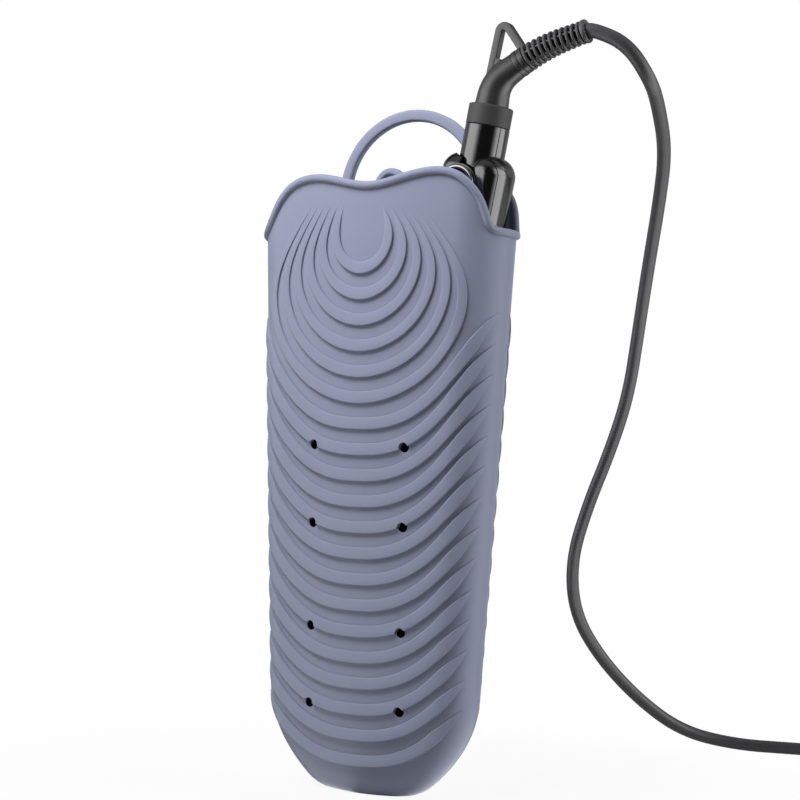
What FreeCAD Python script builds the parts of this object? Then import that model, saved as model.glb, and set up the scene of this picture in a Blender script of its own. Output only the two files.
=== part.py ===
import FreeCAD
import Part

import math
import os

V = FreeCAD.Vector
os.makedirs("parts", exist_ok=True)

# Silicone sleeve: half sizes of its oval section at the base, above the bottom rounding and at the top
base_half_width = 23.0
base_half_depth = 10.5
low_half_width = 49.6
low_half_depth = 17.3
top_half_width = 60.5
top_half_depth = 24.0
rounding_height = 42.0
loft_height = 275.0
oval_end_step = 3.0
sleeve_wall = 2.5
sleeve_floor = 3.0

# Rim line of the mouth, with a dip in the middle, two unlike humps and a notch on each side, and its lip.
# A fall gives shares of the way from hump to notch, across and down.
rim_dip_x = 2.5
rim_dip_z = 258.3
rim_left_hump = (-24.0, 262.4)
rim_right_hump = (35.0, 263.5)
rim_left_notch_x = -57.5
rim_right_notch_x = 55.5
rim_notch_z = 239.1
rim_left_fall = ((0.42, 0.16), (0.64, 0.5), (0.85, 0.87), (1.0, 0.98))
rim_right_fall = ((0.33, 0.06), (0.72, 0.35), (0.9, 0.75), (1.0, 0.97))
rim_notch_run = 6.0
lip_height = 3.4
lip_out = 1.6

# Moulded ridges: nested U ridges at the top, then full-width ridges that rise towards the sides
ridge_top_z = 224.4
ridge_pitch = 10.9
ridge_width = 5.1
ridge_height = 0.9
ridge_side_height = 0.4
u_ridge_count = 6
full_ridge_count = 14
u_tip_z = 248.0
u_tip_x = 9.4
u_tip_step = 3.4
u_half_width = 11.0
u_half_step = 6.6
u_limb_width = 3.6
u_widest_z = 236.0
u_widest_step = 4.8
full_rise = 46.0
full_rise_step = 1.5
full_rise_power = 2.4

# Vent holes in the front and back panels
vent_radius = 2.1
vent_x = 21.9
vent_heights = (147.1, 113.9, 70.1, 37.2)

# Carry loop and small finger loop on the back panel
loop_outer_radius = 37.0
loop_bar = 5.2
loop_depth = 4.0
loop_center_z = 260.0
loop_leg = 7.0
finger_x = -12.5
finger_outer_radius = 6.8
finger_bar = 3.0
finger_center_z = 263.0
finger_leg = 6.0

# Styling iron: where its axis meets the hinge's level, lean, arms
iron_x = 41.3
iron_z = 256.7
iron_lean = 9.8
arm_tip = 256.2
shoulder_top = 14.5
shoulder_radius = 8.0
arm_out_top = 13.6
arm_out_tip = 10.0
arm_depth_top = 11.8
arm_depth_tip = 7.6
arm_nose_radius = 7.0
arm_edge_radius = 6.0
cover_depth = 2.6
boss_p = -1.0
handle_gap = 4.0
handle_end = 118.0
plate_face = 0.35
jaw_face = 1.2

# Neck, knuckle joint and chrome caps, with the hinge beside the iron's axis
hinge_p = -3.4
neck_radius = 9.35
neck_bore = 7.6
neck_bore_start = 13.0
neck_top = 26.4
knuckle_radius = 8.4
knuckle_half = 4.4
ear_radius = 9.0
ear_outer = 11.8
hinge_side_gap = 0.5
hinge_round_gap = 0.5
neck_gap = 1.6
pin_radius = 2.5
pin_play = 0.05
seat_play = 0.02
cap_radius = 8.4
cap_rim = 1.5
cap_groove_radius = 6.0
cap_groove = 0.7

# Heating plates and what lies behind them
plate_length = 90.0
plate_half = 6.2
plate_thick = 2.6
plate_start = 126.0
plate_play = 0.15
heater_length = 70.0
heater_half = 5.0
heater_thick = 2.4
pad_thick = 1.0

# Control board, its buttons, lamp and screws in the handle of the fixed arm
board_length = 72.0
board_half = 6.0
board_thick = 1.6
board_start = 38.0
board_p = 7.4
board_play = 0.15
post_radius = 1.5
handle_skin = 1.1
button_radius = 3.0
button_play = 0.3
button_rise = 0.7
button_flange = 0.8
button_lip = 1.0
power_w = -52.0
button_pitch = 14.0
lamp_radius = 1.3
lamp_w = -96.0
screw_head_radius = 2.0
screw_head = 1.5
screw_shank_radius = 1.0
screw_play = 0.05
screw_bite = 1.2
screw_ws = (-24.0, -114.0)

# Swivel: collar, stem, clip, elbow with hanging loop, ribbed strain relief
collar_radius = 9.4
collar_top = 35.1
collar_spigot = 2.0
spigot_wall = 0.5
spigot_play = 0.05
stem_radius = 5.0
stem_play = 0.06
stem_bottom = 17.0
clip_thick = 1.2
clip_gap = 0.4
clip_out = 6.6
clip_groove = 0.6
elbow_seat = 32.6
elbow_radius = 7.2
elbow_end_radius = 5.6
elbow_play = 0.3
elbow_rise = 4.2
elbow_bend_radius = 14.0
elbow_bend = 48.0
elbow_run = 5.4
band_count = 2
band_thick = 2.1
band_pitch = 2.5
hang_bar = 2.9
hang_thick = 3.6
hang_round = 4.1
hang_left_foot = (-4.66, 47.1)
hang_corner = (-3.95, 75.9)
hang_right_foot = (10.7, 61.5)
hang_play = 0.1
relief_bend_radius = 78.0
relief_bend = 17.0
relief_straight = 10.75
relief_core = 4.3
relief_root = 6.05
relief_tip = 4.75
rib_count = 12
rib_thick = 1.6
rib_start = 0.15
mouth_flare = 0.9
mouth_depth = 6.0

# Mains cord, its coil, tie and plug
cord_radius = 3.0
cord_play = 0.06
cord_in = 14.2
cord_out = 1.7
coil_x = 182.0
coil_y = 180.0
coil_radius = 42.0
coil_pitch = 6.5
coil_turns = 6.25
coil_lead = 8.0
coil_tail = 24.0
tie_wall = 1.0
tie_play = 0.3
tie_side_play = 1.4
tie_length = 10.0
tie_angle = 225.0
plug_length = 32.0
plug_half_width = 12.0
plug_neck = 22.0
plug_neck_radius = 4.4
plug_round = 5.0
blade_length = 17.0
blade_width = 6.3
blade_thick = 1.5
blade_spread = 12.7
blade_root = 5.0

iron = FreeCAD.Placement(V(iron_x, 0, iron_z), FreeCAD.Rotation(V(0, 1, 0), iron_lean))
reach = 400.0


def save(name, shape):
    solids = shape.Solids
    if not solids or not all(s.isValid() for s in solids):
        raise ValueError(name + " is not a valid solid")
    kept = solids[0] if len(solids) == 1 else Part.makeCompound(solids)
    kept.exportStep("parts/" + name + ".step")
    print(name, len(solids), "solid", round(sum(s.Volume for s in solids), 1), "mm3")


def in_iron(shape):
    moved = shape.copy()
    moved.Placement = iron.multiply(moved.Placement)
    return moved


def box(x0, x1, y0, y1, z0, z1):
    return Part.makeBox(x1 - x0, y1 - y0, z1 - z0, V(x0, y0, z0))


def rod_y(radius, y0, y1, x=0.0, z=0.0):
    return Part.makeCylinder(radius, y1 - y0, V(x, y0, z), V(0, 1, 0))


def rod_z(radius, z0, z1, x=0.0, y=0.0):
    return Part.makeCylinder(radius, z1 - z0, V(x, y, z0), V(0, 0, 1))


def rod_x(radius, x0, x1, y=0.0, z=0.0):
    return Part.makeCylinder(radius, x1 - x0, V(x0, y, z), V(1, 0, 0))


def spline(points):
    curve = Part.BSplineCurve()
    curve.interpolate(points)
    return curve.toShape()


def slab(edges, y0, y1):
    face = Part.Face(Part.Wire(edges))
    face.translate(V(0, y0, 0))
    return face.extrude(V(0, y1 - y0, 0))


def polygon_xz(points):
    corners = [V(x, 0, z) for x, z in points]
    return Part.makePolygon(corners + corners[:1]).Edges


# Sleeve section: straight taper above the bottom rounding and a parabola below it
def half_size(z, base, low, top):
    slope = (top - low) / (loft_height - rounding_height)
    taper = low + slope * (z - rounding_height)
    drop = low - slope * rounding_height - base
    return taper - drop * max(0.0, 1.0 - z / rounding_height) ** 2


def half_width(z):
    return half_size(z, base_half_width, low_half_width, top_half_width)


def half_depth(z):
    return half_size(z, base_half_depth, low_half_depth, top_half_depth)


# Oval of four tangent arcs, returned as the large radius and the point where it meets the end arc
def oval_arcs(a, b):
    end = b - oval_end_step
    large = ((a - end) ** 2 + b * b - end * end) / (2 * (b - end))
    scale = large / (large - end)
    return end, large, (a - end) * scale, (large - b) * (1 - scale)


def oval(a, b, z):
    end, large, px, py = oval_arcs(a, b)
    py = abs(py)
    corners = [V(-px, -py, z), V(px, -py, z), V(px, py, z), V(-px, py, z)]
    middles = [V(0, -b, z), V(a, 0, z), V(0, b, z), V(-a, 0, z)]
    arcs = [Part.Arc(corners[i], middles[i], corners[(i + 1) % 4]).toShape() for i in range(4)]
    return Part.Wire(arcs)


def sleeve_loft(grow_x, grow_y, lift):
    def ovals(levels):
        return [oval(half_width(z) + grow_x, half_depth(z) + grow_y, z + lift) for z in levels]

    low = Part.makeLoft(ovals([rounding_height * i / 4.0 for i in range(5)]), True, False)
    return low.fuse(Part.makeLoft(ovals([rounding_height, loft_height]), True, True))


def wall_depth(x, z):
    b = half_depth(z)
    large = oval_arcs(half_width(z), b)[1]
    return math.sqrt(large * large - x * x) - (large - b)


def rim_side(hump, notch_x, fall):
    way = math.copysign(rim_notch_run, notch_x)
    across, down = notch_x - hump[0], hump[1] - rim_notch_z
    points = [hump] + [(hump[0] + x * across, hump[1] - z * down) for x, z in fall]
    return points + [(notch_x + way, rim_notch_z), (notch_x + 3 * way, rim_notch_z)]


def rim_edge(drop):
    left = rim_side(rim_left_hump, rim_left_notch_x, rim_left_fall)
    right = rim_side(rim_right_hump, rim_right_notch_x, rim_right_fall)
    points = left[::-1] + [(rim_dip_x, rim_dip_z)] + right
    return spline([V(x, 0, z - drop) for x, z in points])


def region(edge, z):
    a, b = edge.Vertexes[0].Point, edge.Vertexes[-1].Point
    corners = [b, V(b.x, 0, z), V(a.x, 0, z), a]
    sides = [Part.LineSegment(corners[i], corners[i + 1]).toShape() for i in range(3)]
    return [edge] + sides


def full_ridge_edge(number, drop):
    middle = ridge_top_z - ridge_pitch * (number - 1) - drop
    rise = full_rise - full_rise_step * (number - u_ridge_count - 1)
    side = half_width(middle + rise) + 4.0
    points = []
    for i in range(-8, 9):
        share = i / 8.0
        climb = rise * (abs(share) * side / (side - 4.0)) ** full_rise_power
        points.append(V(share * side, 0, middle + climb))
    return spline(points)


def full_ridge(number):
    upper = full_ridge_edge(number, 0.0)
    lower = full_ridge_edge(number, ridge_width)
    left = Part.LineSegment(upper.Vertexes[0].Point, lower.Vertexes[0].Point).toShape()
    right = Part.LineSegment(lower.Vertexes[-1].Point, upper.Vertexes[-1].Point).toShape()
    return slab([upper, right, lower, left], -reach / 4, reach / 4)


def u_ridge(number):
    k = number - 1
    tip = (u_tip_x + u_tip_step * k, u_tip_z)
    widest = u_widest_z - u_widest_step * k
    inner = u_half_width + u_half_step * k
    bottom = ridge_top_z - ridge_pitch * k

    def edge(half, z):
        points = [(-tip[0], tip[1]), (-half, widest), (0, z), (half, widest), tip]
        return spline([V(x, 0, y) for x, y in points])

    curves = [edge(inner, bottom), edge(inner + u_limb_width, bottom - ridge_width)]
    return slab(curves, -reach / 4, reach / 4)


def arch(x, y, z, outer, bar, depth, leg):
    ring = rod_y(outer, y, y + depth, x, z).cut(rod_y(outer - bar, y - 1, y + depth + 1, x, z))
    ring = ring.common(box(x - outer, x + outer, y, y + depth, z, z + outer))
    for side in (-1, 1):
        foot = x + side * (outer - bar / 2)
        ring = ring.fuse(box(foot - bar / 2, foot + bar / 2, y, y + depth, z - leg, z))
    return ring.removeSplitter()


def make_sleeve():
    body = sleeve_loft(0, 0, 0)
    raised = sleeve_loft(ridge_side_height, ridge_height, 0)
    lip = sleeve_loft(lip_out, lip_out, 0)
    bands = [u_ridge(n + 1) for n in range(u_ridge_count)]
    bands += [full_ridge(n + 1 + u_ridge_count) for n in range(full_ridge_count)]
    top = slab(region(rim_edge(0), reach), -reach / 4, reach / 4)
    lip_band = slab(region(rim_edge(lip_height), reach), -reach / 4, reach / 4)
    body = body.fuse([raised.common(b) for b in bands] + [lip.common(lip_band)])
    back = wall_depth(loop_outer_radius, loop_center_z) - loop_depth + 0.6
    carry = arch(0, back, loop_center_z, loop_outer_radius, loop_bar, loop_depth, loop_leg)
    side = wall_depth(finger_x, finger_center_z) - loop_depth + 0.6
    finger = arch(finger_x, side, finger_center_z, finger_outer_radius, finger_bar, loop_depth, finger_leg)
    body = body.cut([top, sleeve_loft(-sleeve_wall, -sleeve_wall, sleeve_floor)])
    vents = []
    for z in vent_heights:
        for x in (-vent_x, vent_x):
            vents.append(rod_y(vent_radius, -reach / 4, reach / 4, x, z))
    return body.cut(vents).fuse([carry, finger]).removeSplitter()


# One arm of the iron, drawn for the fixed side: p outward, y across, z along the iron
def arm_side():
    shoulder = V(arm_out_top - shoulder_radius, 0, shoulder_top - shoulder_radius)
    nose = V(arm_out_tip - arm_nose_radius, 0, -arm_tip + arm_nose_radius)
    c = math.sqrt(0.5)
    start = V(jaw_face, 0, shoulder_top)
    top = V(shoulder.x, 0, shoulder_top)
    out = V(arm_out_top, 0, shoulder.z)
    tip_out = V(arm_out_tip, 0, nose.z)
    tip = V(nose.x, 0, -arm_tip)
    end = V(jaw_face, 0, -arm_tip)
    return [
        Part.LineSegment(start, top).toShape(),
        Part.Arc(top, shoulder + V(c, 0, c) * shoulder_radius, out).toShape(),
        Part.LineSegment(out, tip_out).toShape(),
        Part.Arc(tip_out, nose + V(c, 0, -c) * arm_nose_radius, tip).toShape(),
        Part.LineSegment(tip, end).toShape(),
        Part.LineSegment(end, start).toShape(),
    ]


# Arch over the foot of the neck, on the fixed arm's inner side
def boss_side():
    radius = arm_out_top - shoulder_radius - boss_p
    c = math.sqrt(0.5)
    rise = V(boss_p, 0, shoulder_top - radius)
    top = V(boss_p + radius, 0, shoulder_top)
    middle = V(top.x, 0, rise.z) + V(-c, 0, c) * radius
    corners = [top, V(arm_out_top, 0, top.z), V(arm_out_top, 0, -top.z), V(boss_p, 0, -top.z), rise]
    return [Part.Arc(rise, middle, top).toShape()] + [
        Part.LineSegment(a, b).toShape() for a, b in zip(corners, corners[1:])
    ]


# A side's prism, narrowed towards the tip, with the front and back edges that keep() names rounded
def rounded_prism(side, keep):
    top, tip = shoulder_top + 1, -arm_tip - 1
    corners = [(arm_depth_top, top), (arm_depth_tip, tip), (-arm_depth_tip, tip), (-arm_depth_top, top)]
    corners = [V(boss_p - 1, y, z) for y, z in corners]
    wedge = Part.Face(Part.makePolygon(corners + corners[:1])).extrude(V(arm_out_top * 2, 0, 0))
    block = slab(side, -arm_depth_top, arm_depth_top).common(wedge)
    outer = []
    for e in block.Edges:
        ends = [v.Point for v in e.Vertexes]
        across = abs(ends[0].y - ends[-1].y) > arm_depth_tip
        if not across and keep(ends):
            outer.append(e)
    return block.makeFillet(arm_edge_radius, outer)


def arm_block():
    return rounded_prism(arm_side(), lambda ends: any(p.x > jaw_face + 0.1 for p in ends))


def boss_block():
    def keep(ends):
        return any(p.z > 0 for p in ends) and any(p.x < arm_out_top - 0.1 for p in ends)

    part = box(boss_p - 1, arm_out_top - shoulder_radius, -reach / 4, reach / 4, 0, shoulder_top + 1)
    return rounded_prism(boss_side(), keep).common(part)


def seam_region():
    top_p, tip_p = arm_out_top - cover_depth, arm_out_tip - cover_depth
    shoulder = [(neck_radius + 0.3, shoulder_top + 1), (top_p, shoulder_top - shoulder_radius)]
    tip = [(tip_p, -arm_tip + arm_nose_radius), (tip_p, -arm_tip - 1)]
    outside = [(arm_out_top + 9, -arm_tip - 1), (arm_out_top + 9, shoulder_top + 1)]
    return slab(polygon_xz(shoulder + tip + outside), -2 * arm_depth_top, 2 * arm_depth_top)


def plate_pocket(play):
    w0, w1 = -plate_start - plate_length - play, -plate_start + play
    half = plate_half + play
    pocket = box(jaw_face - 3, plate_face + plate_thick, -half, half, w0, w1)
    mid = (w0 + w1) / 2
    depth = plate_face + plate_thick + heater_thick + pad_thick
    reach_w = heater_length / 2 + play
    wide = heater_half + play
    return pocket.fuse(box(plate_face, depth, -wide, wide, mid - reach_w, mid + reach_w))


def plate_parts():
    w0 = -plate_start - plate_length
    plate = box(plate_face, plate_face + plate_thick, -plate_half, plate_half, w0, w0 + plate_length)
    rims = [e for e in plate.Edges if e.CenterOfMass.x < plate_face + 0.01]
    plate = plate.makeFillet(1.0, rims)
    low = w0 + (plate_length - heater_length) / 2
    p1 = plate_face + plate_thick
    heater = box(p1, p1 + heater_thick, -heater_half, heater_half, low, low + heater_length)
    p2 = p1 + heater_thick
    pad = box(p2, p2 + pad_thick, -heater_half, heater_half, low, low + heater_length)
    return plate, heater, pad


def cover_p(w):
    top = shoulder_top - shoulder_radius
    tip = -arm_tip + arm_nose_radius
    share = (top - w) / (top - tip)
    return arm_out_top - cover_depth - share * (arm_out_top - arm_out_tip)


def screw(w):
    head = rod_x(screw_head_radius, handle_gap, handle_gap + screw_head, 0, w)
    shank = rod_x(screw_shank_radius, handle_gap + screw_head, cover_p(w) + screw_bite, 0, w)
    return head.fuse(shank)


def screw_hole(w):
    bore = rod_x(screw_head_radius + screw_play, handle_gap - 1, handle_gap + screw_head, 0, w)
    drill = rod_x(screw_shank_radius + screw_play, handle_gap, cover_p(w) + screw_bite + screw_play, 0, w)
    return bore.fuse(drill)


def arm_with_gap():
    gap = box(-1, handle_gap, -reach / 4, reach / 4, -handle_end, shoulder_top + 1)
    holes = [screw_hole(w) for w in screw_ws]
    return arm_block().cut([gap, plate_pocket(plate_play)] + holes)


def mirrored(shape):
    return shape.mirror(V(0, 0, 0), V(1, 0, 0))


def button_ws():
    return [power_w, power_w - button_pitch, power_w - 2 * button_pitch]


def make_fixed_arm():
    neck = rod_z(neck_radius, 0, neck_top)
    knuckle = rod_y(knuckle_radius, -knuckle_half, knuckle_half, hinge_p)
    web = box(hinge_p, handle_gap + 4, -knuckle_half, knuckle_half, -knuckle_radius, neck_bore_start)
    under = box(-1, arm_out_top - shoulder_radius, -reach / 4, reach / 4, 0, reach)
    whole = arm_with_gap().cut(under).fuse([boss_block(), neck, knuckle, web])
    cuts = []
    inner = knuckle_half + hinge_side_gap
    round_gap = ear_radius + hinge_round_gap
    for side in (-1, 1):
        y0, y1 = sorted((side * inner, side * reach / 4))
        cuts.append(rod_y(round_gap, y0, y1, hinge_p))
    cuts.append(box(-reach, 0, -reach / 4, -inner, -reach, 0))
    cuts.append(box(-reach, 0, inner, reach / 4, -reach, 0))
    left = rod_z(neck_radius + 1, -1, knuckle_radius).cut(rod_y(round_gap, -reach / 4, reach / 4, hinge_p))
    cuts.append(left.common(box(-reach, 0, -reach / 4, reach / 4, -1, knuckle_radius)))
    cuts.append(rod_y(pin_radius + pin_play, -reach / 4, reach / 4, hinge_p))
    cuts.append(rod_z(neck_bore, neck_bore_start, reach))
    whole = whole.cut(cuts)
    seam = seam_region()
    body, cover = whole.cut(seam), whole.common(seam)
    w0 = -board_start - board_length
    floor_p = handle_gap + handle_skin
    well = box(floor_p, cover_p(w0) - 0.2, -board_half, board_half, w0, -board_start)
    body = body.cut(well)
    posts = []
    for w in (w0 + 2 * post_radius, -board_start - 2 * post_radius):
        for y in (-board_half + 2 * post_radius, board_half - 2 * post_radius):
            posts.append(rod_x(post_radius, floor_p - 0.5, board_p, y, w))
    holes = [rod_x(button_radius + button_play, 0, floor_p + 1, 0, w) for w in button_ws()]
    holes.append(rod_x(lamp_radius + seat_play, 0, floor_p + 1, 0, lamp_w))
    return body.fuse(posts).cut(holes), cover


def make_moving_arm():
    arm = mirrored(arm_with_gap()).cut(rod_z(neck_radius + neck_gap, -2, reach))
    inner = knuckle_half + hinge_side_gap
    ears = [rod_y(ear_radius, inner, ear_outer, hinge_p), rod_y(ear_radius, -ear_outer, -inner, hinge_p)]
    arm = arm.fuse(ears)
    cuts = [rod_y(knuckle_radius + hinge_round_gap, -inner, inner, hinge_p)]
    cuts.append(rod_y(pin_radius + seat_play, -reach / 4, reach / 4, hinge_p))
    arm = arm.cut(cuts)
    seam = mirrored(seam_region())
    return arm.cut(seam), arm.common(seam)


def hinge_cap(side):
    y0 = ear_outer
    half = cap_groove / 2
    outline = [
        (0, y0), (cap_radius, y0), (cap_radius, y0 + cap_rim - 0.4), (cap_radius - 0.4, y0 + cap_rim),
        (cap_groove_radius + half, y0 + cap_rim), (cap_groove_radius + half, y0 + cap_rim / 2),
        (cap_groove_radius - half, y0 + cap_rim / 2), (cap_groove_radius - half, y0 + cap_rim),
        (0, y0 + cap_rim),
    ]
    points = [V(hinge_p + x, side * y, 0) for x, y in outline]
    face = Part.Face(Part.makePolygon(points + points[:1]))
    return face.revolve(V(hinge_p, 0, 0), V(0, 1, 0), 360)


def make_button(w):
    floor_p = handle_gap + handle_skin
    back = floor_p + button_play + button_flange
    cap = rod_x(button_radius, handle_gap - button_rise, back, 0, w)
    return cap.fuse(rod_x(button_radius + button_lip, back - button_flange, back, 0, w))


# Swivel elbow path in the plane y = 0, from the top of the stem
def turn_point(angle, radius, x, z, heading):
    center = V(x + radius * math.cos(heading), 0, z - radius * math.sin(heading))
    return center + V(-math.cos(heading + angle), 0, math.sin(heading + angle)) * radius


def along_way(heading):
    return V(math.sin(heading), 0, math.cos(heading))


def elbow_end():
    bend = math.radians(elbow_bend)
    upper = turn_point(bend, elbow_bend_radius, 0, collar_top + elbow_rise, 0)
    return upper + along_way(bend) * elbow_run, bend


def relief_frame(length):
    start, heading = elbow_end()
    bend = math.radians(relief_bend)
    arc = relief_bend_radius * bend
    if length <= arc:
        angle = length / relief_bend_radius
        return turn_point(angle, relief_bend_radius, start.x, start.z, heading), heading + angle
    point = turn_point(bend, relief_bend_radius, start.x, start.z, heading)
    final = heading + bend
    return point + along_way(final) * (length - arc), final


def relief_length():
    return relief_bend_radius * math.radians(relief_bend) + relief_straight


def disc(point, heading, radius, thick):
    way = along_way(heading)
    return Part.makeCylinder(radius, thick, point - way * (thick / 2), way)


def circle_wire(point, way, radius):
    return Part.Wire(Part.makeCircle(radius, point, way))


def elbow_path():
    low = collar_top + elbow_rise
    start, lower = V(0, 0, collar_top), V(0, 0, low)
    end, heading = elbow_end()
    upper = end - along_way(heading) * elbow_run
    middle = turn_point(heading / 2, elbow_bend_radius, 0, low, 0)
    return Part.Wire([
        Part.LineSegment(start, lower).toShape(),
        Part.Arc(lower, middle, upper).toShape(),
        Part.LineSegment(upper, end).toShape(),
    ])


def make_elbow():
    end, heading = elbow_end()
    foot = circle_wire(V(0, 0, collar_top), V(0, 0, 1), elbow_radius)
    head = circle_wire(end, along_way(heading), elbow_end_radius)
    bend = elbow_path().makePipeShell([foot, head], True, False)
    seat = rod_z(elbow_radius, elbow_seat, collar_top)
    stem = rod_z(stem_radius, stem_bottom, elbow_seat)
    groove_z = neck_top - clip_gap - clip_thick
    groove = rod_z(stem_radius + 1, groove_z, groove_z + clip_thick)
    stem = stem.cut(groove.cut(rod_z(stem_radius - clip_groove, 0, reach)))
    bands = [relief_sweep(elbow_end_radius - 0.4, 0, band_end())]
    for i in range(band_count):
        along = i * band_pitch + band_thick / 2
        point, angle = relief_frame(along)
        bands.append(disc(point, angle, relief_radius(along), band_thick))
    return bend.fuse([seat, stem, hang_loop(end)] + bands).removeSplitter()


def hang_loop(end):
    outline = [hang_left_foot, hang_corner, hang_right_foot, (end.x, end.z), (0, hang_left_foot[1])]
    plate = slab(polygon_xz(outline), -hang_thick / 2, hang_thick / 2)
    corners = [e for e in plate.Edges if abs(e.tangentAt(e.FirstParameter).y) > 0.9]
    plate = plate.makeFillet(hang_round, [e for e in corners if e.CenterOfMass.z > hang_corner[1] - 1])
    front = [f for f in plate.Faces if abs(f.CenterOfMass.y - hang_thick / 2) < 0.01][0]
    hole = Part.Face(front.OuterWire.makeOffset2D(-hang_bar, 0)).extrude(V(0, -2 * hang_thick, 0))
    hole.translate(V(0, hang_thick / 2, 0))
    return plate.cut([hole, relief_skin(hang_play)])


def make_clip():
    z = neck_top - clip_gap - clip_thick
    inner = stem_radius - clip_groove + seat_play
    ring = rod_z(clip_out, z, z + clip_thick).cut(rod_z(inner, z - 1, z + 9))
    return ring.cut(box(0, clip_out + 1, -1.2, 1.2, z - 1, z + 9))


def make_collar():
    ring = rod_z(collar_radius, neck_top, collar_top)
    rims = [e for e in ring.Edges if len(e.Vertexes) == 1 and e.CenterOfMass.z > collar_top - 0.1]
    ring = ring.makeFillet(0.8, rims)
    spigot = rod_z(neck_bore - spigot_play, neck_top - collar_spigot, neck_top)
    spigot = spigot.cut(rod_z(neck_bore - spigot_play - spigot_wall, 0, reach))
    ring = ring.fuse(spigot)
    seat = rod_z(elbow_radius + elbow_play, elbow_seat - elbow_play, reach)
    return ring.cut([seat, rod_z(stem_radius + stem_play, 0, reach)])


# Length along the relief's path where the elbow's smooth bands end and the relief itself begins
def band_end():
    return band_count * band_pitch


def relief_radius(along):
    return relief_root + (relief_tip - relief_root) * along / relief_length()


def relief_sweep(radius, begin, finish):
    bend = relief_bend_radius * math.radians(relief_bend)
    turn = min(bend, finish)
    start, heading = relief_frame(begin)
    edges = [Part.Arc(start, relief_frame((begin + turn) / 2)[0], relief_frame(turn)[0]).toShape()]
    if finish > bend:
        edges.append(Part.LineSegment(relief_frame(bend)[0], relief_frame(finish)[0]).toShape())
    profile = circle_wire(start, along_way(heading), radius)
    return Part.Wire(edges).makePipeShell([profile], True, False)


def relief_skin(play):
    return relief_sweep(relief_radius(band_end()) + play, band_end(), relief_length())


def make_relief():
    end, heading = relief_frame(relief_length())
    core = relief_sweep(relief_core, band_end(), relief_length())
    first = band_end() + rib_start + rib_thick / 2
    last = relief_length() - rib_thick / 2
    ribs = []
    for i in range(rib_count):
        along = first + (last - first) * i / (rib_count - 1.0)
        point, angle = relief_frame(along)
        ribs.append(disc(point, angle, relief_radius(along), rib_thick))
    way = along_way(heading)
    bore = Part.makeCylinder(cord_radius + cord_play, cord_in + 1, end - way * cord_in, way)
    small = cord_radius + cord_play
    mouth = Part.makeCone(small, small + mouth_flare, mouth_depth, end - way * mouth_depth, way)
    return core.fuse(ribs).cut([bore, mouth])


# Mains cord: out of the strain relief, down behind the sleeve and along the floor to its coil
def cord_route():
    end, heading = relief_frame(relief_length())
    exit_point = iron.multVec(end)
    way = iron.Rotation.multVec(along_way(heading))
    coil_z = coil_height(0.0)
    points = [
        exit_point - way * cord_in, exit_point + way * cord_out,
        V(106.2, 3.4, 314), V(113, 12.4, 300.7), V(110.6, 27.8, 293.6),
        V(104.1, 54.4, 278.1), V(93.9, 73.9, 257.8),
        V(82.9, 91.8, 234.4), V(72.6, 107.8, 207.2), V(63.8, 118.9, 175.2), V(53, 124.1, 148.3),
        V(41.9, 125.8, 122.6), V(32.8, 128.7, 95.7), V(32.4, 135.4, 70.3), V(39.9, 148.9, 49),
        V(52, 169.8, 27.6), V(66.4, 194.2, 10), V(88, 213, 3.2), V(117, 221.2, 3.2),
        V(148, coil_y + coil_radius, coil_z), V(coil_x - coil_lead, coil_y + coil_radius, coil_z),
    ]
    return points


def tube_path(points):
    edges, radii, last, length = [], [], points[0], 0.0
    for i in range(1, len(points) - 1):
        before, here, after = points[i - 1], points[i], points[i + 1]
        d0, d1 = (here - before), (after - here)
        turn = d0.getAngle(d1)
        trim = 0.45 * min(d0.Length, d1.Length)
        radius = trim / math.tan(turn / 2)
        radii.append(round(radius, 1))
        a = here - V(d0).normalize() * trim
        b = here + V(d1).normalize() * trim
        inward = (V(d1).normalize() - V(d0).normalize()).normalize()
        middle = here + inward * (radius / math.cos(turn / 2) - radius)
        edges.append(Part.LineSegment(last, a).toShape())
        edges.append(Part.Arc(a, middle, b).toShape())
        last = b
    edges.append(Part.LineSegment(last, points[-1]).toShape())
    return Part.Wire(edges), radii


def tube(wire, start, way, name):
    solid = wire.makePipeShell([circle_wire(start, way, cord_radius)], True, False)
    expected = math.pi * cord_radius ** 2 * wire.Length
    ratio = round(solid.Volume / expected, 5)
    print(name, "length", round(wire.Length, 1), "volume over section x length", ratio)
    return solid


# Coil: clockwise spiral in on the lower layer and out again on the upper one
def coil_height(turns):
    low = cord_radius + tie_wall + tie_play
    share = min(1.0, max(0.0, (turns - coil_turns / 2) * 2 + 0.5))
    return low + coil_pitch * share * share * (3 - 2 * share)


def coil_point(turns):
    radius = coil_radius - coil_pitch * (coil_turns / 2 - abs(turns - coil_turns / 2))
    angle = math.pi / 2 - 2 * math.pi * turns
    return V(coil_x + radius * math.cos(angle), coil_y + radius * math.sin(angle), coil_height(turns))


def coil_way(turns):
    if turns <= 0:
        return V(1, 0, 0)
    if turns >= coil_turns:
        return V(math.cos(-2 * math.pi * turns), math.sin(-2 * math.pi * turns), 0)
    step = 1e-4
    return (coil_point(turns + step) - coil_point(turns - step)).normalize()


def arc_from(start, way, end):
    chord = end - start
    side = chord - way * chord.dot(way)
    if side.Length < 1e-6:
        return Part.LineSegment(start, end).toShape()
    normal = side.normalize()
    radius = chord.dot(chord) / (2 * chord.dot(normal))
    center = start + normal * radius
    middle = center + ((start + end) * 0.5 - center).normalize() * radius
    return Part.Arc(start, middle, end).toShape()


def biarc(p0, t0, p1, t1):
    v = p1 - p0
    t = t0 + t1
    a = 2 * (1 - t0.dot(t1))
    b = v.dot(t)
    d = (-b + math.sqrt(b * b + a * v.dot(v))) / a
    joint = (p0 + p1 + (t0 - t1) * d) * 0.5
    back = arc_from(p1, t1 * -1, joint)
    return [arc_from(p0, t0, joint), back]


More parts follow.
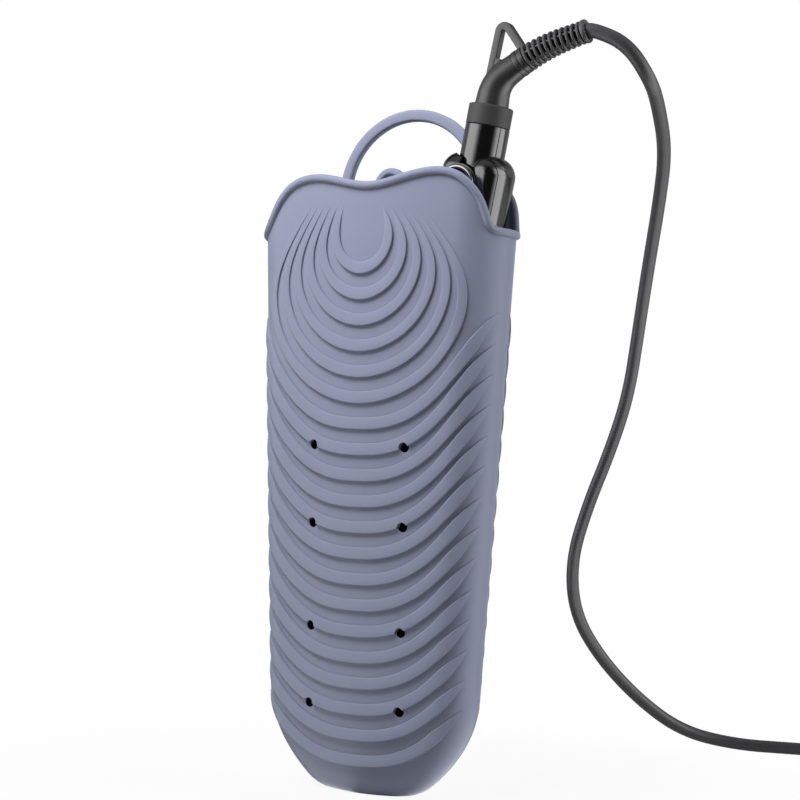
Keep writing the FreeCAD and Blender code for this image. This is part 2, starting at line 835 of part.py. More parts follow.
def coil_path():
    quarters = int(coil_turns * 4)
    first, last = coil_point(0), coil_point(coil_turns)
    edges = [Part.LineSegment(first - V(coil_lead, 0, 0), first).toShape()]
    for i in range(quarters):
        a, b = i / 4.0, (i + 1) / 4.0
        edges += biarc(coil_point(a), coil_way(a), coil_point(b), coil_way(b))
    way = coil_way(coil_turns)
    edges.append(Part.LineSegment(last, last + way * coil_tail).toShape())
    return Part.Wire(Part.sortEdges(edges)[0]), last + way * coil_tail, way


def coil_gap(wire):
    count = 900
    points = wire.discretize(count)
    step = wire.Length / (count - 1)
    skip = int(8 * cord_radius / step)
    least = reach
    for i in range(count):
        for j in range(i + skip, count):
            least = min(least, points[i].distanceToPoint(points[j]))
    return least - 2 * cord_radius


def make_tie():
    low, high = coil_height(0) - cord_radius, coil_height(coil_turns) + cord_radius
    r0 = coil_radius - coil_pitch * coil_turns / 2 - cord_radius - tie_side_play
    r1 = coil_radius + cord_radius + tie_side_play
    half = tie_length / 2
    low, high = low - tie_play, high + tie_play
    band = box(r0 - tie_wall, r1 + tie_wall, -half, half, low - tie_wall, high + tie_wall)
    long_edges = [e for e in band.Edges if abs(e.tangentAt(0).y) > 0.9 and e.CenterOfMass.z > high]
    band = band.makeFillet(0.9, long_edges)
    band = band.cut(box(r0, r1, -half - 1, half + 1, low, high))
    band.rotate(V(0, 0, 0), V(0, 0, 1), tie_angle)
    band.translate(V(coil_x, coil_y, 0))
    return band


def make_plug(end, way):
    side = V(0, 0, 1).cross(way)
    half = end.z
    place = FreeCAD.Placement(end, FreeCAD.Rotation(way, side, V(0, 0, 1), "XYZ"))
    body = box(plug_neck, plug_neck + plug_length, -plug_half_width, plug_half_width, -half, half)
    long_edges = [e for e in body.Edges if abs(e.tangentAt(0).x) > 0.9]
    body = body.makeFillet(plug_round, long_edges)
    neck = Part.makeCone(plug_neck_radius, plug_half_width - plug_round, plug_neck, V(0, 0, 0), V(1, 0, 0))
    face_x = plug_neck + plug_length
    blades, slots = [], []
    for y in (-blade_spread / 2, blade_spread / 2):
        root, thick, wide = face_x - blade_root, blade_thick / 2, blade_width / 2
        blades.append(box(root, face_x + blade_length, y - thick, y + thick, -wide, wide))
        thick, wide = thick + seat_play, wide + seat_play
        slots.append(box(root, face_x + 1, y - thick, y + thick, -wide, wide))
    plug = body.fuse(neck).cut(slots)
    pair = Part.makeCompound(blades)
    plug.Placement = place.multiply(plug.Placement)
    pair.Placement = place.multiply(pair.Placement)
    return plug, pair


def main():
    save("sleeve_body", make_sleeve())

    fixed_body, fixed_cover = make_fixed_arm()
    moving_body, moving_cover = make_moving_arm()
    save("fixed_arm_body", in_iron(fixed_body))
    save("fixed_arm_cover", in_iron(fixed_cover))
    save("moving_arm_body", in_iron(moving_body))
    save("moving_arm_cover", in_iron(moving_cover))
    for name, shape in zip(("heater_plate", "heater_element", "heater_pad"), plate_parts()):
        save("fixed_" + name, in_iron(shape))
        save("moving_" + name, in_iron(mirrored(shape)))
    fixed_screws = Part.makeCompound([screw(w) for w in screw_ws])
    save("fixed_arm_screws", in_iron(fixed_screws))
    save("moving_arm_screws", in_iron(mirrored(fixed_screws)))

    save("hinge_pin", in_iron(rod_y(pin_radius, -ear_outer, ear_outer, hinge_p)))
    save("hinge_cap_front", in_iron(hinge_cap(-1)))
    save("hinge_cap_back", in_iron(hinge_cap(1)))

    w0 = -board_start - board_length
    board = box(
        board_p, board_p + board_thick, -board_half + board_play, board_half - board_play,
        w0 + board_play, -board_start - board_play,
    )
    save("control_board", in_iron(board))
    for name, w in zip(("power_button", "temp_up_button", "temp_down_button"), button_ws()):
        save(name, in_iron(make_button(w)))
    save("indicator_lens", in_iron(rod_x(lamp_radius, handle_gap - 0.3, board_p, 0, lamp_w)))

    save("swivel_collar", in_iron(make_collar()))
    save("swivel_clip", in_iron(make_clip()))
    save("swivel_elbow", in_iron(make_elbow()))
    save("strain_relief", in_iron(make_relief()))

    route = cord_route()
    path, radii = tube_path(route)
    print("cord arc radii", radii)
    save("mains_cord", tube(path, route[0], route[1] - route[0], "mains_cord"))
    turns, end, way = coil_path()
    print("coil least gap", round(coil_gap(turns), 2))
    save("cord_coil", tube(turns, coil_point(0) - V(coil_lead, 0, 0), V(1, 0, 0), "cord_coil"))
    save("cord_tie", make_tie())
    plug, blades = make_plug(end, way)
    save("plug_body", plug)
    save("plug_blades", blades)


if __name__ == "__main__":
    main()
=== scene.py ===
from math import acos, asin, atan2, cos, hypot, pi, radians, sin, sqrt
import bmesh
import bpy
from mathutils import Matrix, Vector


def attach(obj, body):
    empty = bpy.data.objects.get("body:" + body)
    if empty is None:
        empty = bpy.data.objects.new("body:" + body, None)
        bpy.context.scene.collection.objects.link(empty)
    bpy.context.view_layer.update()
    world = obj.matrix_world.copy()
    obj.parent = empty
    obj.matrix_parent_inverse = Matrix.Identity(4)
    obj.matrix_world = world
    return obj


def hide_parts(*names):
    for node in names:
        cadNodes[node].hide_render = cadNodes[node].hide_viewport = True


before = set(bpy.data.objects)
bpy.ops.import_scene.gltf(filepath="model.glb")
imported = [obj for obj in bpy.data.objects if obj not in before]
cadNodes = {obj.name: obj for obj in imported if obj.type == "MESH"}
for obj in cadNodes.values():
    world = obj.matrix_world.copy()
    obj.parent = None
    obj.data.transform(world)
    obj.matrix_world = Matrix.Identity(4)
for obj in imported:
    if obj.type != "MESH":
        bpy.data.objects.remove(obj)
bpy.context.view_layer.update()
scene = bpy.context.scene
print("frame loaded:", len(cadNodes), "nodes")


# camera, matched to the photograph
view = {"eye": (0.4025, -0.6971, 0.1478), "lens": 84.24, "ahead": (-0.5, 0.866, 0.0),
        "toRight": 0.00876, "toTop": 0.02436, "roll": 2.0}

ahead = Vector(view["ahead"]).normalized()
right = ahead.cross(Vector((0, 0, 1)))
ahead = (ahead + right * view["toRight"] + Vector((0, 0, 1)) * view["toTop"]).normalized()
right = ahead.cross(Vector((0, 0, 1))).normalized()
up = right.cross(ahead)
c, s = cos(radians(view["roll"])), sin(radians(view["roll"]))
right, up = right * c + up * s, up * c - right * s
cameraData = bpy.data.cameras.new("photoCamera")
cameraData.lens = view["lens"]
cameraData.sensor_width = 36.0
cameraData.clip_start = 0.01
camera = bpy.data.objects.new("photoCamera", cameraData)
turn = Matrix((right, up, -ahead)).transposed().to_4x4()
camera.matrix_world = Matrix.Translation(view["eye"]) @ turn
scene.collection.objects.link(camera)
scene.camera = camera
scene.view_settings.view_transform = "Standard"


# small helpers
def srgb(r, g, b):
    def one(v):
        v /= 255.0
        return v / 12.92 if v <= 0.04045 else ((v + 0.055) / 1.055) ** 2.4
    return (one(r), one(g), one(b), 1.0)


def addObject(name, data):
    obj = bpy.data.objects.new(name, data)
    scene.collection.objects.link(obj)
    return obj


def newMesh(name, bm):  # the bmesh is used up
    mesh = bpy.data.meshes.new(name)
    bm.to_mesh(mesh)
    bm.free()
    return mesh


def plainMesh(obj):  # modifiers and node trees turned into a plain mesh
    graph = bpy.context.evaluated_depsgraph_get()
    mesh = bpy.data.meshes.new_from_object(obj.evaluated_get(graph), depsgraph=graph)
    obj.modifiers.clear()
    old, obj.data = obj.data, mesh
    bpy.data.meshes.remove(old)
    return obj


def smooth(mesh, degrees):
    mesh.shade_smooth()
    mesh.set_sharp_from_angle(angle=radians(degrees))


def punch(obj, tool):
    cut = obj.modifiers.new("cut", "BOOLEAN")
    cut.operation = "DIFFERENCE"
    cut.solver = "EXACT"
    cut.object = tool
    return plainMesh(obj)


def cutAway(obj, tool):  # as punch, and the tool goes
    punch(obj, tool)
    bpy.data.objects.remove(tool)
    return obj


def skin(bm, rings):  # faces between rings of one count, with both ends closed
    count = len(rings[0])
    for lower, upper in zip(rings, rings[1:]):
        for i in range(count):
            j = (i + 1) % count
            bm.faces.new((lower[i], lower[j], upper[j], upper[i]))
    bm.faces.new(rings[0][::-1])
    bm.faces.new(rings[-1])


def belong(piece, body, slot, *nodes):
    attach(piece, body)
    if nodes:
        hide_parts(*nodes)


def addNode(tree, kind, inputs=None, **settings):  # an input is a value, or the socket that feeds it
    node = tree.nodes.new(kind)
    for key, value in settings.items():
        setattr(node, key, value)
    for key, value in (inputs or {}).items():
        if isinstance(value, bpy.types.NodeSocket):
            tree.links.new(value, node.inputs[key])
        else:
            node.inputs[key].default_value = value
    return node


def addMath(tree, operation, *inputs):
    return addNode(tree, "ShaderNodeMath", dict(enumerate(inputs)), operation=operation).outputs[0]


def spread(first, last, count):
    return [first + (last - first) * i / count for i in range(count + 1)]


def cubicLine(points):  # natural cubic through (x, y), x rising
    xs = [p[0] for p in points]
    ys = [p[1] for p in points]
    n = len(xs)
    h = [xs[i + 1] - xs[i] for i in range(n - 1)]
    m, d, l = [0.0] * n, [0.0] * n, [1.0] * n
    for i in range(1, n - 1):
        rhs = 3 * ((ys[i + 1] - ys[i]) / h[i] - (ys[i] - ys[i - 1]) / h[i - 1])
        l[i] = 2 * (xs[i + 1] - xs[i - 1]) - h[i - 1] * m[i - 1]
        m[i] = h[i] / l[i]
        d[i] = (rhs - h[i - 1] * d[i - 1]) / l[i]
    k = [0.0] * n
    for i in range(n - 2, 0, -1):
        k[i] = d[i] - m[i] * k[i + 1]

    def value(x):
        x = min(max(x, xs[0]), xs[-1])
        i = max(j for j in range(n - 1) if xs[j] <= x or j == 0)
        t = x - xs[i]
        b = (ys[i + 1] - ys[i]) / h[i] - h[i] * (k[i + 1] + 2 * k[i]) / 3
        return ys[i] + b * t + k[i] * t * t + (k[i + 1] - k[i]) / (3 * h[i]) * t ** 3
    return value


def through(points, count):  # smooth path through plane points, by chord length
    runs = [0.0]
    for p, q in zip(points, points[1:]):
        runs.append(runs[-1] + hypot(q[0] - p[0], q[1] - p[1]))
    xs = cubicLine([(r, p[0]) for r, p in zip(runs, points)])
    zs = cubicLine([(r, p[1]) for r, p in zip(runs, points)])
    return [(xs(runs[-1] * i / count), zs(runs[-1] * i / count)) for i in range(count + 1)]


# materials: each has its own grain, mottling and gloss, all on object coordinates
grainDeep = 0.0004


def material(name, colour, roughness, metallic=0.0, mottle=0.06, mottleSize=60.0, grain=0.02,
             grainSize=1400.0, wear=0.06, **sockets):
    mat = bpy.data.materials.new(name)
    mat.use_nodes = True
    tree = mat.node_tree
    shader = tree.nodes["Principled BSDF"]
    shader.inputs["Metallic"].default_value = metallic
    for key, value in sockets.items():
        shader.inputs[key.replace("_", " ")].default_value = value
    place = addNode(tree, "ShaderNodeTexCoord").outputs["Object"]
    cloud = addNode(tree, "ShaderNodeTexNoise", {"Vector": place, "Scale": mottleSize, "Detail": 3.0})
    dark, pale = ([min(1.0, v * share) for v in colour[:3]] + [1.0] for share in (1 - mottle, 1 + mottle))
    tone = addNode(tree, "ShaderNodeMix", {"A": dark, "B": pale, "Factor": cloud.outputs["Fac"]},
                   data_type="RGBA")
    fine = addNode(tree, "ShaderNodeTexNoise", {"Vector": place, "Scale": grainSize, "Detail": 2.0})
    rub = addNode(tree, "ShaderNodeMapRange", {
        "Value": fine.outputs["Fac"], "To Min": max(0.0, roughness - wear),
        "To Max": min(1.0, roughness + wear)})
    bump = addNode(tree, "ShaderNodeBump", {
        "Strength": grain, "Distance": grainDeep, "Height": fine.outputs["Fac"]})
    tree.links.new(tone.outputs["Result"], shader.inputs["Base Color"])
    tree.links.new(rub.outputs["Result"], shader.inputs["Roughness"])
    tree.links.new(bump.outputs["Normal"], shader.inputs["Normal"])
    return mat


silicone = material("lavenderSilicone", srgb(131, 136, 158), 0.4, mottle=0.03, grain=0.05,
                    grainSize=2600.0, Sheen_Weight=0.06, Sheen_Roughness=0.4, Specular_IOR_Level=0.35)
glossBlack = material("polishedBlack", (0.003, 0.003, 0.0035, 1), 0.13, mottle=0.1, grain=0.0, wear=0.03,
                      Coat_Weight=0.2, Coat_Roughness=0.08, IOR=2.1)
satinBlack = material("satinBlack", (0.016, 0.016, 0.017, 1), 0.3, grain=0.03)
collarGrey = material("mattCollar", srgb(57, 57, 58), 0.5, grain=0.08, grainSize=2200.0)
elbowGrey = material("elbowPlastic", srgb(46, 46, 47), 0.33, grain=0.04, grainSize=1800.0, IOR=1.8)
cordGrey = material("cordCover", srgb(60, 60, 62), 0.42, grain=0.01, grainSize=900.0, wear=0.02,
                    IOR=1.7)
reliefGrey = material("reliefRubber", srgb(68, 68, 70), 0.4, grain=0.02, grainSize=1500.0, wear=0.03,
                      IOR=1.7)
# near-black and matt: painted shade in the relief's slots and the cap grooves, and the colour of the dark seam
# lines
shadeAndSeamDark = material("reliefCore", srgb(6, 6, 6), 0.9, grain=0.03, Specular_IOR_Level=0.1)
chromeFinish = material("hingeChrome", (0.42, 0.42, 0.43, 1), 0.1, metallic=1.0, mottle=0.02,
                        grain=0.0, wear=0.04)
steelFinish = material("plainSteel", (0.5, 0.5, 0.51, 1), 0.32, metallic=1.0, grain=0.02)
plateFinish = material("ceramicPlate", (0.05, 0.05, 0.055, 1), 0.25, metallic=0.4, grain=0.01)
heaterWhite = material("heaterCeramic", (0.72, 0.70, 0.66, 1), 0.6)
padRed = material("siliconePad", (0.5, 0.1, 0.06, 1), 0.7, grain=0.1)
boardGreen = material("circuitBoard", (0.02, 0.13, 0.05, 1), 0.4, mottle=0.2, mottleSize=300.0)
lensClear = material("lampLens", (0.62, 0.63, 0.66, 1), 0.12, grain=0.0)
brassFinish = material("plugBrass", (0.68, 0.52, 0.26, 1), 0.28, metallic=1.0)
print("materials made")


# node trees: inputs go in by label, and each ends in real geometry with its material
def openTree(name, **kinds):
    tree = bpy.data.node_groups.new(name, "GeometryNodeTree")
    face, ids = tree.interface, {}
    face.new_socket("Geometry", in_out="INPUT", socket_type="NodeSocketGeometry")
    for label, kind in kinds.items():
        ids[label] = face.new_socket(label, in_out="INPUT", socket_type="NodeSocket" + kind).identifier
    face.new_socket("Geometry", in_out="OUTPUT", socket_type="NodeSocketGeometry")
    return tree, ids, addNode(tree, "NodeGroupInput").outputs


def closeTree(tree, shape, finish):
    real = addNode(tree, "GeometryNodeRealizeInstances", {"Geometry": shape})
    dressed = addNode(tree, "GeometryNodeSetMaterial", {
        "Geometry": real.outputs["Geometry"], "Material": finish})
    addNode(tree, "NodeGroupOutput", {"Geometry": dressed.outputs["Geometry"]})


def roundedBlock(tree, width, height, corner):
    block = addNode(tree, "GeometryNodeCurvePrimitiveQuadrilateral", {"Width": width, "Height": height})
    eased = addNode(tree, "GeometryNodeFilletCurve", {
        "Curve": block.outputs["Curve"], "Radius": corner, "Count": 4}, mode="POLY")
    return eased.outputs["Curve"]


def carried(tree, name, kind):  # a value that the path's points carry
    return addNode(tree, "GeometryNodeInputNamedAttribute", {"Name": name}, data_type=kind).outputs["Attribute"]


def barTree():  # sweeps a rounded bar along every edge path of a mesh
    tree, ids, given = openTree("sweepBar", width="Float", height="Float", corner="Float", finish="Material")
    paths = addNode(tree, "GeometryNodeMeshToCurve", {"Mesh": given["Geometry"]})
    facing = addNode(tree, "GeometryNodeSetCurveNormal", {
        "Curve": paths.outputs["Curve"], "Normal": carried(tree, "outward", "FLOAT_VECTOR")}, mode="FREE")
    girth = carried(tree, "girth", "FLOAT")
    sized = addNode(tree, "GeometryNodeSetCurveRadius", {"Curve": facing.outputs["Curve"], "Radius": girth})
    outline = roundedBlock(tree, given["height"], given["width"], given["corner"])  # its x side faces outward
    swept = addNode(tree, "GeometryNodeCurveToMesh", {
        "Curve": sized.outputs["Curve"], "Profile Curve": outline, "Scale": girth, "Fill Caps": True})
    closeTree(tree, swept.outputs["Mesh"], given["finish"])
    return tree, ids


sweepBar = barTree()


def useTree(obj, treeAndIds, **values):
    tree, ids = treeAndIds
    grown = obj.modifiers.new("grown", "NODES")
    grown.node_group = tree
    for label, value in values.items():
        grown[ids[label]] = value
    return plainMesh(obj)


def pathMesh(name, paths):  # each path: list of (place, outward, girth), and whether it closes
    mesh = bpy.data.meshes.new(name)
    places, edges, outs, girths = [], [], [], []
    for points, closed in paths:
        first = len(places)
        for place, out, girth in points:
            places.append(place)
            outs += list(out)
            girths.append(girth)
        count = len(points)
        edges += [(first + i, first + i + 1) for i in range(count - 1)]
        if closed:
            edges.append((first + count - 1, first))
    mesh.from_pydata(places, edges, [])
    mesh.attributes.new("outward", "FLOAT_VECTOR", "POINT").data.foreach_set("vector", outs)
    mesh.attributes.new("girth", "FLOAT", "POINT").data.foreach_set("value", girths)
    return mesh


def sweepPiece(name, paths, width, height, corner, finish):
    obj = addObject(name, pathMesh(name, paths))
    useTree(obj, sweepBar, width=width, height=height, corner=corner, finish=finish)
    smooth(obj.data, 50)
    return obj


# mains cord: the route's points, then the put-away coil, all one smooth line
cordLook = {"diameter": 0.006, "length": 1.8, "coilMiddle": (0.182, 0.180), "coilRadius": 0.042,
            "coilPitch": 0.0065, "coilTurns": 6.25, "turnSteps": 16, "coilLow": 0.0043, "tail": 0.024}
cordExit = (0.09038, 0.0, 0.31985)
cordRoute = [
    cordExit, (0.09202, 0.0, 0.3203), (0.1062, 0.0034, 0.3140), (0.1130, 0.0124, 0.3007),
    (0.1106, 0.0278, 0.2936),
    (0.1041, 0.0544, 0.2781), (0.0939, 0.0739, 0.2578), (0.0829, 0.0918, 0.2344), (0.0726, 0.1078, 0.2072),
    (0.0638, 0.1189, 0.1752), (0.0530, 0.1241, 0.1483), (0.0419, 0.1258, 0.1226), (0.0328, 0.1287, 0.0957),
    (0.0324, 0.1354, 0.0703), (0.0399, 0.1489, 0.0490), (0.0520, 0.1698, 0.0276), (0.0664, 0.1942, 0.0100),
    (0.0880, 0.2130, 0.0033), (0.1170, 0.2212, 0.0033), (0.1480, 0.2220, 0.0043),
]


def coilPoint(turns):  # winds in to half the turns, then out again on top
    look, half = cordLook, cordLook["coilTurns"] / 2
    radius = look["coilRadius"] - look["coilPitch"] * (half - abs(turns - half))
    share = min(1.0, max(0.0, (turns - half) * 2 + 0.5))
    angle = pi / 2 - 2 * pi * turns
    x, y = look["coilMiddle"]
    return (x + radius * cos(angle), y + radius * sin(angle),
            look["coilLow"] + look["coilPitch"] * share * share * (3 - 2 * share))


steps = int(cordLook["coilTurns"] * cordLook["turnSteps"])
coilPoints = [coilPoint(i / cordLook["turnSteps"]) for i in range(steps + 1)]
lastAngle = -2 * pi * cordLook["coilTurns"]
lastWay = Vector((cos(lastAngle), sin(lastAngle), 0.0))
cordEnd = Vector(coilPoints[-1]) + lastWay * cordLook["tail"]
cordPoints = cordRoute + coilPoints + [tuple(cordEnd)]
cordCurve = bpy.data.curves.new("mainsCord", "CURVE")
cordCurve.dimensions = "3D"
line = cordCurve.splines.new("NURBS")
line.points.add(len(cordPoints) - 1)
for point, place in zip(line.points, cordPoints):
    point.co = (*place, 1.0)
line.order_u = 3
line.use_endpoint_u = True
line.resolution_u = 8
cordCurve.bevel_depth = cordLook["diameter"] / 2
cordCurve.bevel_resolution = 6
cordCurve.use_fill_caps = True
cordCurve.materials.append(cordGrey)
cord = addObject("mainsCord", cordCurve)
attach(cord, "swivel")
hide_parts("mains_cord", "cord_coil")
print("cord laid:", len(cordPoints), "points")


# sleeve: oval section of four arcs, taper above and rounding below
sleeve = {"base": (0.0230, 0.0105), "low": (0.0496, 0.0173), "top": (0.0605, 0.0240), "rounding": 0.042,
          "bulge": (0.875, 2.1), "loft": 0.275, "endStep": 0.003, "wall": 0.0025, "floor": 0.003,
          "shoulder": 0.225, "columns": 112, "rings": (16, 30, 12), "footRound": 0.0045,
          "footIn": (0.0045, 0.002)}
rimLook = {"dip": (0.0025, 0.2583), "notchZ": 0.2391, "notchRun": 0.006, "lineSteps": 480,
           "bead": 0.0034, "beadOut": -0.0001, "beadCorner": 0.0015, "beadSteps": 320,
           "left": {"hump": (-0.024, 0.2624), "notchX": -0.0575,
                    "fall": ((0.42, 0.16), (0.64, 0.5), (0.85, 0.87), (1.0, 0.98))},
           "right": {"hump": (0.035, 0.2635), "notchX": 0.0555,
                     "fall": ((0.33, 0.06), (0.72, 0.35), (0.9, 0.75), (1.0, 0.97))}}


def halfSize(z, i):  # half the width or half the depth at a height
    slope = (sleeve["top"][i] - sleeve["low"][i]) / (sleeve["loft"] - sleeve["rounding"])
    taper = sleeve["low"][i] + slope * (z - sleeve["rounding"])
    drop = sleeve["low"][i] - slope * sleeve["rounding"] - sleeve["base"][i]
    t = max(0.0, 1 - z / sleeve["rounding"])
    e = max(0.0, 1 - z / sleeve["footRound"])
    foot = sleeve["footIn"][i] * (1 - sqrt(1 - e * e))
    part, power = sleeve["bulge"]
    return taper - drop * (part * t ** power + (1 - part) * (1 - sqrt(1 - t * t))) - foot


def arcs(z, grow):  # half sizes, both radii and the angle where the arcs meet
    a, b = halfSize(z, 0) + grow, halfSize(z, 1) + grow
    end = b - sleeve["endStep"]
    large = ((a - end) ** 2 + b * b - end * end) / (2 * (b - end))
    return a, b, end, large, atan2(a - end, large - b)


def onOval(u, z, grow=0.0):  # u from -1 to 1 over the front, 1 to 3 over the back
    side = 1.0
    if u > 1.0:
        u, side = 2.0 - u, -1.0
    a, b, end, large, meet = arcs(z, grow)
    run = abs(u) * (large * meet + end * (pi / 2 - meet))
    if run < large * meet:
        phi = run / large
        x, y = large * sin(phi), (large - b) - large * cos(phi)
    else:
        phi = meet + (run - large * meet) / end
        x, y = a - end + end * sin(phi), -end * cos(phi)
    sign = 1.0 if u >= 0 else -1.0
    return Vector((sign * x, side * y, z)), Vector((sign * sin(phi), -side * cos(phi), 0.0))


def ovalShare(x, z):  # the u that lies at x
    a, b, end, large, meet = arcs(z, 0.0)
    away = min(abs(x), a)
    if away <= large * sin(meet):
        run = large * asin(away / large)
    else:
        run = large * meet + end * (asin(min(1.0, (away - a + end) / end)) - meet)
    share = run / (large * meet + end * (pi / 2 - meet))
    return share if x >= 0 else -share


def onPanel(x, z, side):
    u = ovalShare(x, z)
    return onOval(u if side < 0 else 2.0 - u, z)


def rimSide(look, way):  # from the hump down to the notch at the sleeve's side
    (x, z), low = look["hump"], rimLook["notchZ"]
    points = [look["hump"]] + [(x + a * (look["notchX"] - x), z - b * (z - low)) for a, b in look["fall"]]
    return points + [(look["notchX"] + way * rimLook["notchRun"] * k, low) for k in (1, 3)]


rimCorners = rimSide(rimLook["left"], -1)[::-1] + [rimLook["dip"]] + rimSide(rimLook["right"], 1)
rimPoints = through(rimCorners, rimLook["lineSteps"])


def rimLine(x):
    for (x0, z0), (x1, z1) in zip(rimPoints, rimPoints[1:]):
        if x0 <= x <= x1 and x1 > x0:
            return z0 + (z1 - z0) * (x - x0) / (x1 - x0)
    return rimLook["notchZ"]


def rimHeight(u):
    z = rimLook["dip"][1]
    for _ in range(12):  # settles on the rim's height
        z = 0.5 * (z + rimLine(onOval(u, z)[0].x))
    return z


def makeShell():  # up the outside to the rim, then down the inside to the floor
    look = sleeve
    count = look["columns"] * 2
    shares = [-1 + 4.0 * i / count for i in range(count)]
    rims = [rimHeight(u) for u in shares]
    bend, shoulder = look["rounding"], look["shoulder"]
    lowCount, midCount, topCount = look["rings"]
    levels = [bend * (i / lowCount) ** 1.5 for i in range(lowCount + 1)]  # closer together at the foot
    levels += spread(bend, shoulder, midCount)[1:]
    top = spread(0, 1, topCount)[1:]
    bm = bmesh.new()

    def ring(grow, lift, level, share=None):
        made = []
        for u, rim in zip(shares, rims):
            z = level if share is None else shoulder + (rim - shoulder) * share
            place = onOval(u, max(0.0, z - lift), grow)[0]
            made.append(bm.verts.new((place.x, place.y, z)))
        return made

    wall, floor = look["wall"], look["floor"]
    rings = [ring(0, 0, z) for z in levels] + [ring(0, 0, 0, t) for t in top]
    rings += [ring(-wall, floor, 0, t) for t in reversed(top)]
    rings += [ring(-wall, floor, z + floor) for z in reversed(levels[:-1])]
    skin(bm, rings)
    bmesh.ops.recalc_face_normals(bm, faces=bm.faces[:])
    return addObject("sleeveShell", newMesh("sleeveShell", bm))


ventLook = {"radius": 0.0021, "inner": 0.0055, "inDepth": 0.005, "proud": 0.0002, "reach": 0.1, "x": 0.0219,
            "heights": (0.1471, 0.1139, 0.0701, 0.0372), "sides": 32}


def makeVentPunch(side):  # side 0: straight holes; else cones that widen inside that panel
    bm = bmesh.new()
    look = ventLook
    for z in look["heights"]:
        for x in (-look["x"], look["x"]):
            y, tilt, depth, near = 0.0, pi / 2, look["reach"], look["radius"]
            if side:
                y = onPanel(x, z, side)[0].y - side * (look["inDepth"] / 2 + look["proud"])
                tilt, depth, near = -side * pi / 2, look["inDepth"], look["inner"]
            place = Matrix.Translation((x, y, z)) @ Matrix.Rotation(tilt, 4, "X")
            bmesh.ops.create_cone(bm, cap_ends=True, segments=look["sides"], radius1=near,
                                  radius2=look["radius"], depth=depth, matrix=place)
    return addObject("ventPunch", newMesh("ventPunch", bm))


ventPunch = makeVentPunch(0)
shell = punch(makeShell(), ventPunch)
for panel in (-1, 1):
    cutAway(shell, makeVentPunch(panel))
shell.data.materials.clear()
shell.data.materials.append(silicone)
smooth(shell.data, 40)
print("sleeve shell:", len(shell.data.polygons), "faces")


# moulded ridges, swept over the sleeve's surface
ridges = {"topZ": 0.2244, "pitch": 0.0109, "width": 0.0051, "height": 0.00112, "corner": 0.00045,
          "uCount": 6, "fullCount": 14, "tipZ": 0.248, "tipX": 0.0094, "tipStep": 0.0034,
          "uHalf": 0.0110, "uHalfStep": 0.0066, "limb": 0.0036, "widestZ": 0.236, "widestStep": 0.0048,
          "rise": 0.049, "riseStep": 0.0016, "power": 2.6, "lean": -0.07,
          "tipU": 0.925, "tipUStep": 0.0052, "tipRun": 0.16, "tipGirth": 0.06, "tipPower": 0.7,
          "uGirth": 0.05, "round": (0.75, 0.66), "steps": 120}


def fullRidge(k, side):
    look = ridges
    middle = look["topZ"] - look["pitch"] * (k + look["uCount"]) - look["width"] / 2
    rise = look["rise"] - look["riseStep"] * k
    tip = look["tipU"] - look["tipUStep"] * k
    points = []
    for i in range(look["steps"] + 1):
        u = tip * (2 * i / look["steps"] - 1)
        z = middle
        for _ in range(14):  # settles on the ridge's height
            x = abs(onOval(u, z)[0].x)
            z = 0.5 * (z + middle + rise * (x / halfSize(middle + rise, 0)) ** look["power"])
        place, out = onOval(u if side < 0 else 2.0 - u, z)
        girth = min(1.0, max(look["tipGirth"], (tip - abs(u)) / look["tipRun"])) ** look["tipPower"]
        points.append((place, (out - Vector((0, 0, look["lean"] * girth))).normalized(), girth))
    return points, False


def uRidge(k, side):
    look = ridges
    tip = look["tipX"] + look["tipStep"] * k
    widest = look["widestZ"] - look["widestStep"] * k
    inner = look["uHalf"] + look["uHalfStep"] * k
    bottom = look["topZ"] - look["pitch"] * k
    lines = []
    for half, z in ((inner, bottom), (inner + look["limb"], bottom - look["width"])):
        x, drop = half * look["round"][0], widest - look["round"][1] * (widest - z)
        limb = [(tip, look["tipZ"]), (half, widest), (x, drop)]
        lines.append(through([(-x, z) for x, z in limb] + [(0, z)] + limb[::-1], look["steps"]))
    points = []
    for (x0, z0), (x1, z1) in zip(*lines):
        x, z = (x0 + x1) / 2, (z0 + z1) / 2
        place, out = onPanel(x, z, side)
        wide = hypot(x1 - x0, z1 - z0)
        outer = Vector((x1 - x0, 0, z1 - z0)) / max(wide, 0.0001)
        girth = max(look["uGirth"], wide / look["width"])
        points.append((place, (out + outer * look["lean"]).normalized(), girth))
    return points, False


ridgePaths = []
for panel in (-1, 1):
    ridgePaths += [uRidge(k, panel) for k in range(ridges["uCount"])]
    ridgePaths += [fullRidge(k, panel) for k in range(ridges["fullCount"])]
ridgeSet = sweepPiece("sleeveRidges", ridgePaths, ridges["width"], 2 * ridges["height"], ridges["corner"],
                      silicone)
punch(ridgeSet, ventPunch)
smooth(ridgeSet.data, 50)
bpy.data.objects.remove(ventPunch)
print("ridges swept:", len(ridgeSet.data.polygons), "faces")

# rim bead and the two loops on the back panel
beadPath = []
for i in range(rimLook["beadSteps"]):
    u = -1 + 4.0 * i / rimLook["beadSteps"]
    place, out = onOval(u, rimHeight(u) - rimLook["bead"] / 2)
    beadPath.append((place + out * rimLook["beadOut"], out, 1.0))
bead = sweepPiece("sleeveRim", [(beadPath, True)], rimLook["bead"], rimLook["bead"], rimLook["beadCorner"],
                  silicone)

loops = {"carry": {"x": -0.0006, "z": 0.2595, "outer": 0.0364, "bar": 0.0052, "leg": 0.007},
         "finger": {"x": -0.0125, "z": 0.263, "outer": 0.0080, "bar": 0.0034, "leg": 0.006},
         "depth": 0.004, "proud": 0.0006, "corner": 0.0013, "legSteps": 6, "arcSteps": 60}


